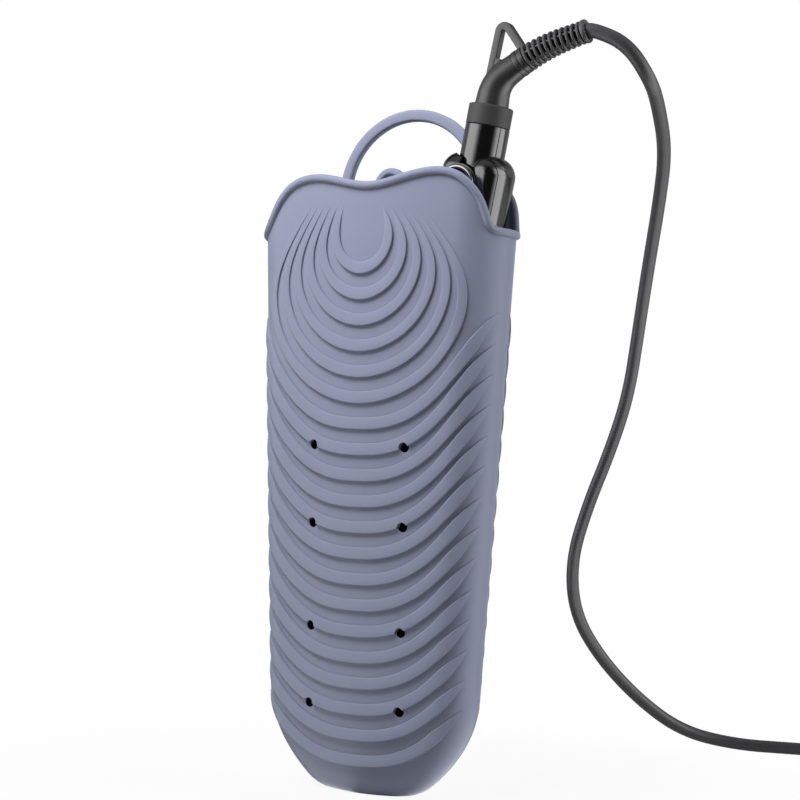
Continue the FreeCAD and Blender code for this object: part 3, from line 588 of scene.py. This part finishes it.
def loopPath(look, y):
    mid = look["outer"] - look["bar"] / 2
    legs, turns = loops["legSteps"], loops["arcSteps"]
    points = [(look["x"] + mid, look["z"] - look["leg"] * (1 - i / legs)) for i in range(legs)]
    for i in range(turns + 1):
        a = pi * i / turns
        points.append((look["x"] + mid * cos(a), look["z"] + mid * sin(a)))
    points += [(look["x"] - mid, look["z"] - look["leg"] * i / legs) for i in range(1, legs + 1)]
    return [(Vector((x, y, z)), Vector((0, 1, 0)), 1.0) for x, z in points], False


sleevePieces = [ridgeSet, bead]
for name, look in (("carryLoop", loops["carry"]), ("fingerLoop", loops["finger"])):
    edge = look["outer"] if name == "carryLoop" else abs(look["x"])
    y = onPanel(edge, look["z"], 1)[0].y - loops["depth"] / 2 + loops["proud"]
    path = loopPath(look, y)
    sleevePieces.append(sweepPiece(name, [path], look["bar"], loops["depth"], loops["corner"], silicone))
belong(shell, "sleeve", "silicone", "sleeve_body")
for piece in sleevePieces:
    belong(piece, "sleeve", "silicone")
print("sleeve dressed")


# iron: p points outward, y across and w along it, from the hinge's level on its axis
ironLook = {"place": (0.0413, 0.0, 0.2567), "lean": 9.8, "hinge": -0.0034}
ironPlace = Matrix.Translation(ironLook["place"]) @ Matrix.Rotation(radians(ironLook["lean"]), 4, "Y")


def inIron(name, build):  # build fills a bmesh in the iron's own axes
    bm = bmesh.new()
    build(bm)
    bmesh.ops.remove_doubles(bm, verts=bm.verts[:], dist=0.000001)
    bmesh.ops.recalc_face_normals(bm, faces=bm.faces[:])
    bmesh.ops.transform(bm, matrix=ironPlace, verts=bm.verts[:])
    return addObject(name, newMesh(name, bm))


def lathe(bm, outline, upright, centre=0.0, sides=96, closed=False):  # outline: (radius, along)
    rings = []
    for radius, along in outline:
        ring = []
        for i in range(sides if radius > 0 else 1):
            a = 2 * pi * i / sides
            u, v = radius * cos(a), radius * sin(a)
            ring.append(bm.verts.new((centre + u, v, along) if upright else (centre + u, along, v)))
        rings.append(ring)
    for lower, upper in zip(rings, rings[1:] + (rings[:1] if closed else [])):
        for i in range(sides):
            j = (i + 1) % sides
            corners = [ring[k % len(ring)] for ring, k in ((lower, i), (lower, j), (upper, j), (upper, i))]
            corners = list(dict.fromkeys(corners))  # a point on the axis counts once
            if len(corners) > 2:
                bm.faces.new(corners)


def joined(name, pieces, finish, degrees=38):  # one mesh with clean shading on its flats
    bm = bmesh.new()
    for piece in pieces:
        bm.from_mesh(piece.data)
        bpy.data.objects.remove(piece)
    mesh = newMesh(name, bm)
    mesh.materials.append(finish)
    for face in mesh.polygons:
        face.material_index = 0
    smooth(mesh, degrees)
    obj = addObject(name, mesh)
    even = obj.modifiers.new("even", "WEIGHTED_NORMAL")
    even.keep_sharp = True
    even.weight = 100
    return plainMesh(obj)


armLook = {"tip": 0.2562, "top": 0.0145, "shoulder": 0.008, "outTop": 0.0146, "outTip": 0.0105,
           "depthTop": 0.0118, "depthTip": 0.0076, "depthPast": 0.001, "nose": 0.007, "edge": 0.0066,
           "crown": 0.85, "gap": 0.004, "gapEnd": 0.118, "jaw": 0.0012, "boss": -0.001, "bossLow": -0.003,
           "edgeSteps": 24, "turnSteps": 28}
neckLook = {"radius": 0.00935, "top": 0.0264, "knuckle": 0.0084, "knuckleHalf": 0.0044, "knuckleIn": 0.004,
            "knuckleTop": 0.013, "ear": 0.009, "earOuter": 0.0118, "earInner": 0.0049, "roundGap": 0.0005,
            "gap": 0.0016, "ease": 0.0003, "bands": (0.006, 0.012, 0.018)}


def armDepth(w):
    past = armLook["depthPast"]
    share = (armLook["top"] + past - w) / (armLook["top"] + armLook["tip"] + 2 * past)
    return armLook["depthTop"] + (armLook["depthTip"] - armLook["depthTop"]) * share


def turnPoints(p, w, radius, start, end):  # arc with its normals, angles in degrees
    made = []
    for i in range(armLook["turnSteps"] + 1):
        a = radians(start + (end - start) * i / armLook["turnSteps"])
        made.append((p + radius * cos(a), w + radius * sin(a), cos(a), sin(a)))
    return made


def armOutline(fixed):
    look = armLook
    points = []
    if fixed:  # the arch over the neck's foot
        radius = look["outTop"] - look["shoulder"] - look["boss"]
        points.append((look["boss"], 0.0, -1.0, 0.0))
        points += turnPoints(look["boss"] + radius, look["top"] - radius, radius, 180, 90)[:-1]
    else:
        points.append((look["gap"], look["top"], 0.0, 1.0))
    shoulder, nose = look["shoulder"], look["nose"]
    points += turnPoints(look["outTop"] - shoulder, look["top"] - shoulder, shoulder, 90, 0)
    points += turnPoints(look["outTip"] - nose, -look["tip"] + nose, nose, 0, -90)
    return points + [(look["jaw"], -look["tip"], 0.0, -1.0)]


def edgePoint(outline, theta, side):  # on the rounded edge, theta 0 at the outside, 90 on the flat
    p, w, np, nw = outline
    inward = armLook["edge"] * (1 - cos(radians(theta)))
    w -= nw * inward
    y = armDepth(w) * (1 - armLook["crown"] * (1 - sin(radians(theta))))
    return Vector((p - np * inward, side * y, w))


def makeArm(bm, fixed):
    look = armLook
    flip = 1.0 if fixed else -1.0
    steps = look["edgeSteps"]
    outline = armOutline(fixed)

    def vert(place):
        return bm.verts.new((flip * place[0], place[1], place[2]))

    thetas = spread(0.0, 90.0, steps)
    sides = [[[vert(edgePoint(point, theta, side)) for theta in thetas] for point in outline]
             for side in (-1, 1)]
    front, back = sides
    inner = [(look["jaw"], -look["gapEnd"]), (look["gap"], -look["gapEnd"])]
    if fixed:
        inner += [(look["gap"], look["bossLow"]), (look["boss"] + look["edge"], look["bossLow"])]
    frontIn = [vert((p, -armDepth(w), w)) for p, w in inner]
    backIn = [vert((p, armDepth(w), w)) for p, w in inner]
    for i in range(len(outline) - 1):
        bm.faces.new((front[i][0], front[i + 1][0], back[i + 1][0], back[i][0]))
        for rows in sides:
            for j in range(steps):
                bm.faces.new((rows[i][j], rows[i][j + 1], rows[i + 1][j + 1], rows[i + 1][j]))
    for rows, edge in ((front, frontIn), (back, backIn)):
        bm.faces.new([row[-1] for row in rows] + edge)
    bm.faces.new(front[-1][::-1] + back[-1] + [backIn[0], frontIn[0]])
    for k in range(len(inner) - 1):
        bm.faces.new((frontIn[k], backIn[k], backIn[k + 1], frontIn[k + 1]))
    if fixed:
        bm.faces.new((frontIn[-1], backIn[-1], back[0][-1], front[0][-1]))
        bm.faces.new(front[0][::-1] + back[0])
    else:
        bm.faces.new([frontIn[-1], backIn[-1]] + back[0][::-1] + front[0])


roomReach = {"y": 0.03, "low": -0.002, "high": 0.05}


def rodY(bm, radius, y0, y1):
    e = neckLook["ease"]
    outline = [(0, y0), (radius - e, y0), (radius, y0 + e), (radius, y1 - e), (radius - e, y1), (0, y1)]
    lathe(bm, outline, False, ironLook["hinge"])


def earPair(bm, radius, reach):
    rodY(bm, radius, neckLook["earInner"], reach)
    rodY(bm, radius, -reach, -neckLook["earInner"])


def earRoom(bm):
    earPair(bm, neckLook["ear"] + neckLook["roundGap"], roomReach["y"])


def ears(bm):
    earPair(bm, neckLook["ear"], neckLook["earOuter"])


def neckRoom(bm):
    radius, low, high = neckLook["radius"] + neckLook["gap"], roomReach["low"], roomReach["high"]
    lathe(bm, [(0, low), (radius, low), (radius, high), (0, high)], True)


def neckPost(bm):
    r, top, e = neckLook["radius"], neckLook["top"], neckLook["ease"]
    middle = [(r, w) for w in neckLook["bands"]]
    lathe(bm, [(0, 0.0), (r, 0.0)] + middle + [(r, top - e), (r - e, top), (0, top)], True)


def knuckle(bm):
    half = neckLook["knuckleHalf"]
    rodY(bm, neckLook["knuckle"], -half, half)
    low = (ironLook["hinge"], -half, -neckLook["knuckle"])
    high = (armLook["gap"] + neckLook["knuckleIn"], half, neckLook["knuckleTop"])
    middle = [(a + b) / 2 for a, b in zip(low, high)]
    size = [b - a for a, b in zip(low, high)]
    bmesh.ops.create_cube(bm, size=1.0, matrix=Matrix.Translation(middle) @ Matrix.Diagonal(size + [1.0]))


fixedShell = cutAway(inIron("fixedShell", lambda bm: makeArm(bm, True)), inIron("earRoom", earRoom))
neck = cutAway(inIron("neck", neckPost), inIron("earRoom", earRoom))
fixedArm = joined("fixedArm", [fixedShell, neck, inIron("knuckle", knuckle)], glossBlack)
belong(fixedArm, "iron", "gloss_black", "fixed_arm_body", "fixed_arm_cover")
movingShell = cutAway(inIron("movingShell", lambda bm: makeArm(bm, False)), inIron("neckRoom", neckRoom))
movingArm = joined("movingArm", [movingShell, inIron("ears", ears)], glossBlack)
belong(movingArm, "moving_arm", "gloss_black", "moving_arm_body", "moving_arm_cover")
print("arms made:", len(fixedArm.data.polygons) + len(movingArm.data.polygons), "faces")

# seam of the outer cover, a fine dark line over the shoulder and down each arm, and one on the neck
seamLook = {"width": 0.0004, "sunk": 0.0001, "startTheta": 38.0, "endTheta": 52.0, "endTurn": 75.0,
            "ease": 0.75, "turnSteps": 24, "runSteps": 40, "neckP": 0.0084, "neckLow": 0.0128,
            "neckClear": 0.0002, "neckSteps": 8}


def sunkPoint(place, out):  # a path point just under the surface, in the scene's frame
    return ironPlace @ (place - out * seamLook["sunk"]), ironPlace.to_3x3() @ out, 1.0


def seamPath(flip, side):
    look, start, endTurn = armLook, seamLook["startTheta"], seamLook["endTurn"]
    p, w = look["outTop"] - look["shoulder"], look["top"] - look["shoulder"]
    path = []
    for i in range(seamLook["turnSteps"] + 1):
        angle = endTurn * (1 - i / seamLook["turnSteps"])
        theta = start + (seamLook["endTheta"] - start) * (angle / endTurn) ** seamLook["ease"]
        a = radians(angle)
        c, s = cos(a), sin(a)
        point = (p + look["shoulder"] * c, w + look["shoulder"] * s, c, s)
        path.append((edgePoint(point, theta, side), theta, a))
    for i in range(1, seamLook["runSteps"] + 1):
        share = i / seamLook["runSteps"]
        point = (look["outTop"] + (look["outTip"] - look["outTop"]) * share,
                 w + (look["nose"] - look["tip"] - w) * share, 1.0, 0.0)
        path.append((edgePoint(point, start, side), start, 0.0))
    made = []
    for place, theta, a in path:
        t = radians(theta)
        across = sin(t) * look["edge"] / (look["crown"] * armDepth(place.z))
        out = Vector((flip * cos(a) * cos(t), side * across, sin(a) * cos(t))).normalized()
        made.append(sunkPoint(Vector((flip * place.x, place.y, place.z)), out))
    return made, False


def neckSeam(side):
    look, p = seamLook, seamLook["neckP"]
    y = side * sqrt(neckLook["radius"] ** 2 - p ** 2)
    out = Vector((p, y, 0)).normalized()
    levels = spread(look["neckLow"], neckLook["top"] - look["neckClear"], look["neckSteps"])
    return [sunkPoint(Vector((p, y, w)), out) for w in levels], False


wide = seamLook["width"]
fixedSeams = [seamPath(1.0, side) for side in (-1, 1)] + [neckSeam(side) for side in (-1, 1)]
belong(sweepPiece("fixedSeams", fixedSeams, wide, wide, wide / 3, shadeAndSeamDark), "iron", "gloss_black")
movingSeams = [seamPath(-1.0, side) for side in (-1, 1)]
belong(sweepPiece("movingSeams", movingSeams, wide, wide, wide / 3, shadeAndSeamDark), "moving_arm", "gloss_black")

# chrome hinge caps: a rounded ring, a groove with its floor painted dark as shade and a slightly domed disc
capLook = {"radius": 0.0084, "rise": 0.0015, "groove": 0.0060, "grooveWidth": 0.0007, "grooveLip": 0.00005,
           "grooveFloor": 0.4, "dome": (1.0, 0.975, 0.9, 0.775), "discEdge": ((0.0003, 0.62), (0.0, 0.54)),
           "ringIn": ((0.0, 0.72), (0.0003, 0.92)), "ringOut": ((0.0004, 0.93), (0.0001, 0.76), (0.0, 0.5))}


def makeCap(bm, side):  # heights are shares of the rise
    look, h, r = capLook, capLook["rise"], capLook["radius"]
    inside, outside = look["groove"] - look["grooveWidth"] / 2, look["groove"] + look["grooveWidth"] / 2
    outline = [(inside * k / 4, h * up) for k, up in enumerate(look["dome"])]
    outline += [(inside - back, h * up) for back, up in look["discEdge"]]
    outline += [(inside, h * look["grooveFloor"]), (outside, h * look["grooveFloor"])]
    outline += [(outside + over, h * up) for over, up in look["ringIn"]] + [((outside + r) / 2, h)]
    outline += [(r - back, h * up) for back, up in look["ringOut"]] + [(r, 0), (0, 0)]
    ends = [(radius, side * (neckLook["earOuter"] + up)) for radius, up in outline]
    lathe(bm, ends, False, ironLook["hinge"])


for name, node, side in (("hingeCapFront", "hinge_cap_front", -1), ("hingeCapBack", "hinge_cap_back", 1)):
    cap = joined(name, [inIron(name, lambda bm: makeCap(bm, side))], chromeFinish, 55)
    cap.data.materials.append(shadeAndSeamDark)
    axis = ironPlace @ Vector((ironLook["hinge"], 0, 0))
    # groove faces take the near-black material: painted shade in the groove
    for face in cap.data.polygons:
        away = (Vector((face.center.x, 0, face.center.z)) - axis).length
        if abs(away - capLook["groove"]) < capLook["grooveWidth"] / 2 - capLook["grooveLip"]:
            face.material_index = 1
    belong(cap, "moving_arm", "chrome", node)
print("hinge caps turned")

# swivel collar, turned with a soft upper edge and a seat for the elbow
collarLook = {"radius": 0.0094, "low": 0.0264, "top": 0.0351, "ease": 0.0008, "chamfer": 0.0003, "seat": 0.0075,
              "seatDepth": 0.0025, "seatEase": 0.0002, "bore": 0.0052}


def makeCollar(bm):
    look = collarLook
    r, low, top, e = look["radius"], look["low"], look["top"], look["ease"]
    seat, floor = look["seat"], top - look["seatDepth"]
    outline = [(r - look["chamfer"], low), (r, low + look["chamfer"])]
    for degrees in range(0, 91, 15):
        a = radians(degrees)
        outline.append((r - e + e * cos(a), top - e + e * sin(a)))
    outline += [(seat + look["seatEase"], top), (seat, top - look["seatEase"]), (seat, floor),
                (look["bore"], floor), (look["bore"], low)]
    lathe(bm, outline, True, closed=True)


collar = joined("swivelCollar", [inIron("swivelCollar", makeCollar)], collarGrey)
belong(collar, "iron", "collar_grey", "swivel_collar")

# cord elbow and strain relief share one path in the plane y = 0
elbowLook = {"start": 0.0326, "rise": 0.0393, "bendRadius": 0.014, "bend": 48.0, "run": 0.0054, "foot": 0.0072,
             "head": 0.0056, "even": 0.0025, "steps": 32, "bandEnd": 0.005, "bandPitch": 0.0025,
             "bandIn": 0.0002, "grooveStart": 0.00002, "grooveWidth": 0.0003, "grooveDepth": 0.0005,
             "bandEase": (0.0001, 0.0003), "stem": 0.005, "stemLow": 0.017, "stemEase": 0.0003}
reliefLook = {"bendRadius": 0.078, "bend": 17.0, "straight": 0.01075, "root": 0.00605, "tip": 0.00475,
              "core": 0.0034, "coreIn": 0.001, "coreShort": 0.0015, "coreSteps": 20,
              "ribs": 11, "ribSteps": 80, "ribThick": 0.00132,
              "ribDeep": 0.0024, "firstRib": 0.00595, "lastRib": 0.03062, "endRing": 0.0022,
              "endRadius": 0.0050, "endEase": 0.0006, "endHole": ((0.0, 0.0035), (0.0003, 0.0031)),
              "braceEnd": 0.0016, "braceSteps": 40, "bridgeAngle": 14.0, "bridgeIn": 0.0016,
              "bridge": (0.0009, 0.0010, 0.0002),
              "spineIn": 0.0022, "spine": (0.0062, 0.0022, 0.0010)}
reliefLength = reliefLook["bendRadius"] * radians(reliefLook["bend"]) + reliefLook["straight"]


def turned(p, w, heading, radius, angle):
    h = heading + angle
    return (p + radius * (cos(heading) - cos(h)), w + radius * (sin(h) - sin(heading)), h)


elbowArc = elbowLook["bendRadius"] * radians(elbowLook["bend"])
elbowLength = elbowLook["rise"] - elbowLook["start"] + elbowArc + elbowLook["run"]


def swivelPath(s):  # p, w and heading, s from the seat to the relief's end
    look = elbowLook
    straight = look["rise"] - look["start"]
    if s <= straight:
        return 0.0, look["start"] + s, 0.0
    s -= straight
    if s <= elbowArc:
        return turned(0.0, look["rise"], 0.0, look["bendRadius"], s / look["bendRadius"])
    p, w, h = turned(0.0, look["rise"], 0.0, look["bendRadius"], elbowArc / look["bendRadius"])
    s -= elbowArc
    run = min(s, look["run"])
    p, w = p + run * sin(h), w + run * cos(h)
    s -= run
    arc = reliefLook["bendRadius"] * radians(reliefLook["bend"])
    p, w, h = turned(p, w, h, reliefLook["bendRadius"], min(s, arc) / reliefLook["bendRadius"])
    s = max(0.0, s - arc)
    return p + s * sin(h), w + s * cos(h), h


def reliefRadius(along):
    return reliefLook["root"] + (reliefLook["tip"] - reliefLook["root"]) * along / reliefLength


def tube(bm, stations, sides=64):  # stations: (s on the swivel path, radius)
    rings = []
    for s, radius in stations:
        p, w, h = swivelPath(s)
        ring = []
        for i in range(sides):
            a = 2 * pi * i / sides
            across, y = radius * cos(a), radius * sin(a)
            ring.append(bm.verts.new((p + across * cos(h), y, w - across * sin(h))))
        rings.append(ring)
    skin(bm, rings)


def makeElbow(bm):
    look = elbowLook
    stations = []
    for i in range(look["steps"] + 1):
        s = elbowLength * i / look["steps"]
        share = max(0.0, (s - look["even"]) / (elbowLength - look["even"]))
        stations.append((s, look["foot"] + (look["head"] - look["foot"]) * share))
    pitch, wide, deep = look["bandPitch"], look["grooveWidth"], look["grooveDepth"]
    near, far = look["bandEase"]
    for k in range(int(round(look["bandEnd"] / pitch))):  # smooth bands, parted by fine grooves
        a, b = elbowLength + k * pitch, elbowLength + (k + 1) * pitch
        for s, drop in ((a + look["grooveStart"], deep), (a + wide, deep), (a + wide + near, near),
                        (a + wide + far, 0.0), (b - far, 0.0), (b - near, near)):
            stations.append((s, reliefRadius(s - elbowLength) - look["bandIn"] - drop))
    tube(bm, stations)


def makeStem(bm):
    r, low, high, e = elbowLook["stem"], elbowLook["stemLow"], elbowLook["start"], elbowLook["stemEase"]
    lathe(bm, [(0, low), (r - e, low), (r, low + e), (r, high), (0, high)], True, sides=48)


elbow = joined("cordElbow", [inIron("elbow", makeElbow), inIron("stem", makeStem)], elbowGrey, 40)
belong(elbow, "swivel", "collar_grey", "swivel_elbow")

# hanging loop on the elbow: a flat rounded bar along two lines and a round top
hangLook = {"leftFoot": (-0.00466, 0.0471), "corner": (-0.00395, 0.0759), "rightFoot": (0.0107, 0.0615),
            "bar": 0.0034, "thick": 0.0036, "round": 0.0041, "ease": 0.00045, "leftRoot": (0.0012, 0.004),
            "rightRoot": 0.002, "arcSteps": 24, "web": ((0.0022, 0.003), (0.0022, 0.0078))}


def hangPath():
    look = hangLook
    left, corner, right = (Vector(look[key]) for key in ("leftFoot", "corner", "rightFoot"))
    up, down = (corner - left).normalized(), (right - corner).normalized()
    inward = Vector((up.y, -up.x))
    half = acos(-up.dot(down)) / 2
    centre = corner + (down - up).normalized() * (look["round"] / sin(half))
    radius = look["round"] - look["bar"] / 2

    def shifted(point, way):  # the bar's middle lies half a bar inside the outline
        return point + Vector((way.y, -way.x)) * (look["bar"] / 2)

    first = atan2(-inward.y, -inward.x)
    turn = atan2(up.x * down.y - up.y * down.x, up.dot(down))
    aside, below = look["leftRoot"]
    bar = [shifted(left - up * below + Vector((aside, 0)), up), shifted(left, up)]
    for i in range(look["arcSteps"] + 1):
        a = first + turn * i / look["arcSteps"]
        bar.append(centre + Vector((cos(a), sin(a))) * radius)
    bar += [shifted(right, down), shifted(right + down * look["rightRoot"], down)]
    web = [shifted(left + inward * across + up * along, up) for across, along in look["web"]]  # hole's foot
    out = ironPlace.to_3x3() @ Vector((0, -1, 0))
    return [([(ironPlace @ Vector((p, 0, w)), out, 1.0) for p, w in line], False) for line in (bar, web)]


hangLoop = sweepPiece("hangingLoop", hangPath(), hangLook["bar"], hangLook["thick"], hangLook["ease"],
                      elbowGrey)
belong(hangLoop, "swivel", "collar_grey")


# strain relief: rounded ribs set along the path by a node tree, round a core painted near-black as the slots'
# shade
def ribTree():
    tree, ids, given = openTree("reliefRibs", count="Int", radius="Float", taper="Float", deep="Float",
                                thick="Float", finish="Material")
    path = addNode(tree, "GeometryNodeMeshToCurve", {"Mesh": given["Geometry"]})
    spots = addNode(tree, "GeometryNodeCurveToPoints", {
        "Curve": path.outputs["Curve"], "Count": given["count"]}, mode="COUNT")
    middle = addMath(tree, "MULTIPLY_ADD", given["deep"], -0.5, given["radius"])  # ring's middle radius
    ring = addNode(tree, "GeometryNodeCurvePrimitiveCircle", {"Resolution": 56, "Radius": middle})
    flat = addNode(tree, "GeometryNodeSetCurveNormal", {"Curve": ring.outputs["Curve"]}, mode="Z_UP")
    corner = addMath(tree, "MULTIPLY", given["thick"], 0.46)
    outline = roundedBlock(tree, given["deep"], given["thick"], corner)
    rib = addNode(tree, "GeometryNodeCurveToMesh", {"Curve": flat.outputs["Curve"], "Profile Curve": outline})
    index = addNode(tree, "GeometryNodeInputIndex")
    last = addMath(tree, "SUBTRACT", given["count"], 1.0)
    share = addNode(tree, "ShaderNodeMapRange", {
        "Value": index.outputs["Index"], "From Max": last, "To Min": 1.0, "To Max": given["taper"]})
    wide = share.outputs["Result"]
    size = addNode(tree, "ShaderNodeCombineXYZ", {"X": wide, "Y": wide, "Z": 1.0})
    placed = addNode(tree, "GeometryNodeInstanceOnPoints", {
        "Points": spots.outputs["Points"], "Instance": rib.outputs["Mesh"],
        "Rotation": spots.outputs["Rotation"], "Scale": size.outputs["Vector"]})
    closeTree(tree, placed.outputs["Instances"], given["finish"])
    return tree, ids


def pathPoint(along, up, y):  # a place beside the relief's path, up away from the bend, y across
    p, w, h = swivelPath(elbowLength + along)
    return ironPlace @ Vector((p - up * cos(h), y, w + up * sin(h)))


look = reliefLook
ribLine = spread(look["firstRib"], look["lastRib"], look["ribSteps"])
ribPath = [(pathPoint(s, 0, 0), (0, -1, 0), 1.0) for s in ribLine]
ribs = addObject("reliefRibs", pathMesh("reliefRibs", [(ribPath, False)]))
firstRadius, lastRadius = reliefRadius(look["firstRib"]), reliefRadius(look["lastRib"])
useTree(ribs, ribTree(), count=look["ribs"], radius=firstRadius, taper=lastRadius / firstRadius,
        deep=look["ribDeep"], thick=look["ribThick"], finish=reliefGrey)
smooth(ribs.data, 60)
belong(ribs, "swivel", "cord_grey", "strain_relief")


def reliefCore(bm):
    low = elbowLength + elbowLook["bandEnd"] - reliefLook["coreIn"]
    high = elbowLength + reliefLength - reliefLook["coreShort"]
    tube(bm, [(s, reliefLook["core"]) for s in spread(low, high, reliefLook["coreSteps"])], 40)


def reliefEnd(bm):
    end, r, e = elbowLength + reliefLength, reliefLook["endRadius"], reliefLook["endEase"]
    start = end - reliefLook["endRing"]
    stations = [(start, r - e), (start + 0.2 * e, r - 0.4 * e), (start + e, r), (end - e, r),
                (end - 0.2 * e, r - 0.4 * e), (end, r - e)]
    tube(bm, stations + [(end - back, radius) for back, radius in reliefLook["endHole"]])


# the core's near-black is painted shade, the dark deep in the slots between the ribs
belong(joined("reliefCore", [inIron("reliefCore", reliefCore)], shadeAndSeamDark), "swivel", "cord_grey")
belong(joined("reliefEnd", [inIron("reliefEnd", reliefEnd)], reliefGrey, 50), "swivel", "cord_grey")
braceLine = spread(elbowLook["bandEnd"], look["lastRib"] + look["braceEnd"], look["braceSteps"])


def bracePath(way, sunk, tapers):  # way: up and across, a unit vector square to the path
    up, across = way
    points = []
    for s in braceLine:
        r = reliefRadius(s) - sunk
        place = pathPoint(s, r * up, r * across)
        out = (place - pathPoint(s, 0, 0)).normalized()
        points.append((place, out, r / (reliefLook["root"] - sunk) if tapers else 1.0))
    return points, False


tilt = radians(look["bridgeAngle"])  # small bridges across the slots, one row on each side
bridges = [bracePath((sin(tilt), side * cos(tilt)), look["bridgeIn"], False) for side in (-1, 1)]
belong(sweepPiece("reliefBridges", bridges, *look["bridge"], reliefGrey), "swivel", "cord_grey")
spine = bracePath((-1.0, 0.0), look["spineIn"], True)
belong(sweepPiece("reliefSpine", [spine], *look["spine"], reliefGrey), "swivel", "cord_grey")
print("strain relief made")


# pieces that keep the shape of their solids
def finishNode(node, finish):
    mesh = cadNodes[node].data
    mesh.materials.clear()
    mesh.materials.append(finish)


for finish, nodes in (
        (plateFinish, ("fixed_heater_plate", "moving_heater_plate")),
        (heaterWhite, ("fixed_heater_element", "moving_heater_element")),
        (padRed, ("fixed_heater_pad", "moving_heater_pad")),
        (steelFinish, ("fixed_arm_screws", "moving_arm_screws", "hinge_pin", "swivel_clip")),
        (boardGreen, ("control_board",)), (lensClear, ("indicator_lens",)),
        (satinBlack, ("power_button", "temp_up_button", "temp_down_button", "cord_tie")),
        (elbowGrey, ("plug_body",)), (brassFinish, ("plug_blades",))):
    for node in nodes:
        finishNode(node, finish)
print("iron dressed")


# floor, world and lamps; gloss sees a dark camera side, broad bright sides, a dimmer far side and a dim top
studio = {"ambient": 0.04, "darkSide": (0.5, -0.866, 0.0), "sides": 2.2,
          "steps": ((0.45, 0.88, 1.0, 0.01), (-0.42, -0.14, 0.15, 1.0)), "top": (0.25, 0.65, 1.0, 0.12)}
floorLook = {"half": 6.0, "tone": (0.55, 0.55, 0.55, 1), "roughness": 0.9, "fade": (0.08, 0.3, 0.92, 1.0),
             "drop": 0.0002}


def softStep(tree, source, values):  # values: where it starts and ends, then what it gives there
    inputs = dict(zip(("From Min", "From Max", "To Min", "To Max"), values))
    inputs["Value"] = source
    return addNode(tree, "ShaderNodeMapRange", inputs, interpolation_type="SMOOTHSTEP").outputs["Result"]


def softSides(tree, way, light):  # what a glossy ray sees along the direction socket, way
    facing = addNode(tree, "ShaderNodeVectorMath", {0: way, 1: studio["darkSide"]}, operation="DOT_PRODUCT")
    height = addNode(tree, "ShaderNodeSeparateXYZ", {0: way})
    level = addMath(tree, "MULTIPLY", light["Is Glossy Ray"], studio["sides"])
    for step in studio["steps"]:
        level = addMath(tree, "MULTIPLY", level, softStep(tree, facing.outputs["Value"], step))
    return addMath(tree, "MULTIPLY", level, softStep(tree, height.outputs["Z"], studio["top"]))


def stageFloor():
    mat = bpy.data.materials.new("paleFloor")
    mat.use_nodes = True
    tree = mat.node_tree
    shader = tree.nodes["Principled BSDF"]
    shader.inputs["Base Color"].default_value = floorLook["tone"]
    shader.inputs["Roughness"].default_value = floorLook["roughness"]
    light = addNode(tree, "ShaderNodeLightPath").outputs
    place = addNode(tree, "ShaderNodeTexCoord").outputs["Object"]
    away = addNode(tree, "ShaderNodeVectorMath", {0: place}, operation="LENGTH")
    fade = softStep(tree, away.outputs["Value"], floorLook["fade"])  # shadow near the object, white further off
    seen = addMath(tree, "MULTIPLY", light["Is Camera Ray"], fade)
    share = addMath(tree, "MAXIMUM", seen, light["Is Glossy Ray"])
    way = addNode(tree, "ShaderNodeVectorMath", {0: place}, operation="NORMALIZE")
    sides = softSides(tree, way.outputs["Vector"], light)
    glow = addNode(tree, "ShaderNodeEmission", {
        "Strength": addMath(tree, "MAXIMUM", light["Is Camera Ray"], sides)})
    mix = addNode(tree, "ShaderNodeMixShader", {"Fac": share, 1: shader.outputs[0], 2: glow.outputs[0]})
    tree.links.new(mix.outputs[0], tree.nodes["Material Output"].inputs["Surface"])
    bm = bmesh.new()
    bmesh.ops.create_grid(bm, x_segments=2, y_segments=2, size=floorLook["half"])
    floor = addObject("floor", newMesh("floor", bm))
    floor.data.materials.append(mat)
    floor.location.z = -floorLook["drop"]


def stageWorld():
    world = bpy.data.worlds.new("studio")
    world.use_nodes = True
    scene.world = world
    tree = world.node_tree
    light = addNode(tree, "ShaderNodeLightPath").outputs
    way = addNode(tree, "ShaderNodeTexCoord").outputs["Generated"]
    seen = addMath(tree, "MAXIMUM", light["Is Camera Ray"], light["Is Transmission Ray"])
    plain = addMath(tree, "MULTIPLY", light["Is Diffuse Ray"], studio["ambient"])
    level = addMath(tree, "MAXIMUM", addMath(tree, "MAXIMUM", plain, seen), softSides(tree, way, light))
    sky = tree.nodes["Background"]
    tree.links.new(level, sky.inputs["Strength"])
    sky.inputs["Color"].default_value = (1, 1, 1, 1)


def lamp(name, place, aim, size, power):
    data = bpy.data.lights.new(name, "AREA")
    data.shape = "RECTANGLE"
    data.size, data.size_y = size
    data.energy = power
    obj = addObject(name, data)
    obj.location = place
    obj.rotation_euler = (Vector(aim) - Vector(place)).to_track_quat("-Z", "Y").to_euler()
    obj.visible_glossy = False  # gloss shows the soft sides instead


stageFloor()
stageWorld()
lamp("topSoftbox", (-0.1, -0.28, 0.60), (0, 0, 0.2), (0.34, 0.24), 4.2)
lamp("leftSoftbox", (-0.7, -0.8, 0.6), (0, 0, 0.2), (0.6, 0.6), 0.5)
lamp("rightBack", (0.75, 0.35, 0.4), (0.03, 0, 0.2), (0.3, 0.8), 5.2)
lamp("backSoftbox", (-0.15, 0.8, 0.55), (0, 0, 0.15), (0.5, 0.5), 6.0)
print("studio lit")
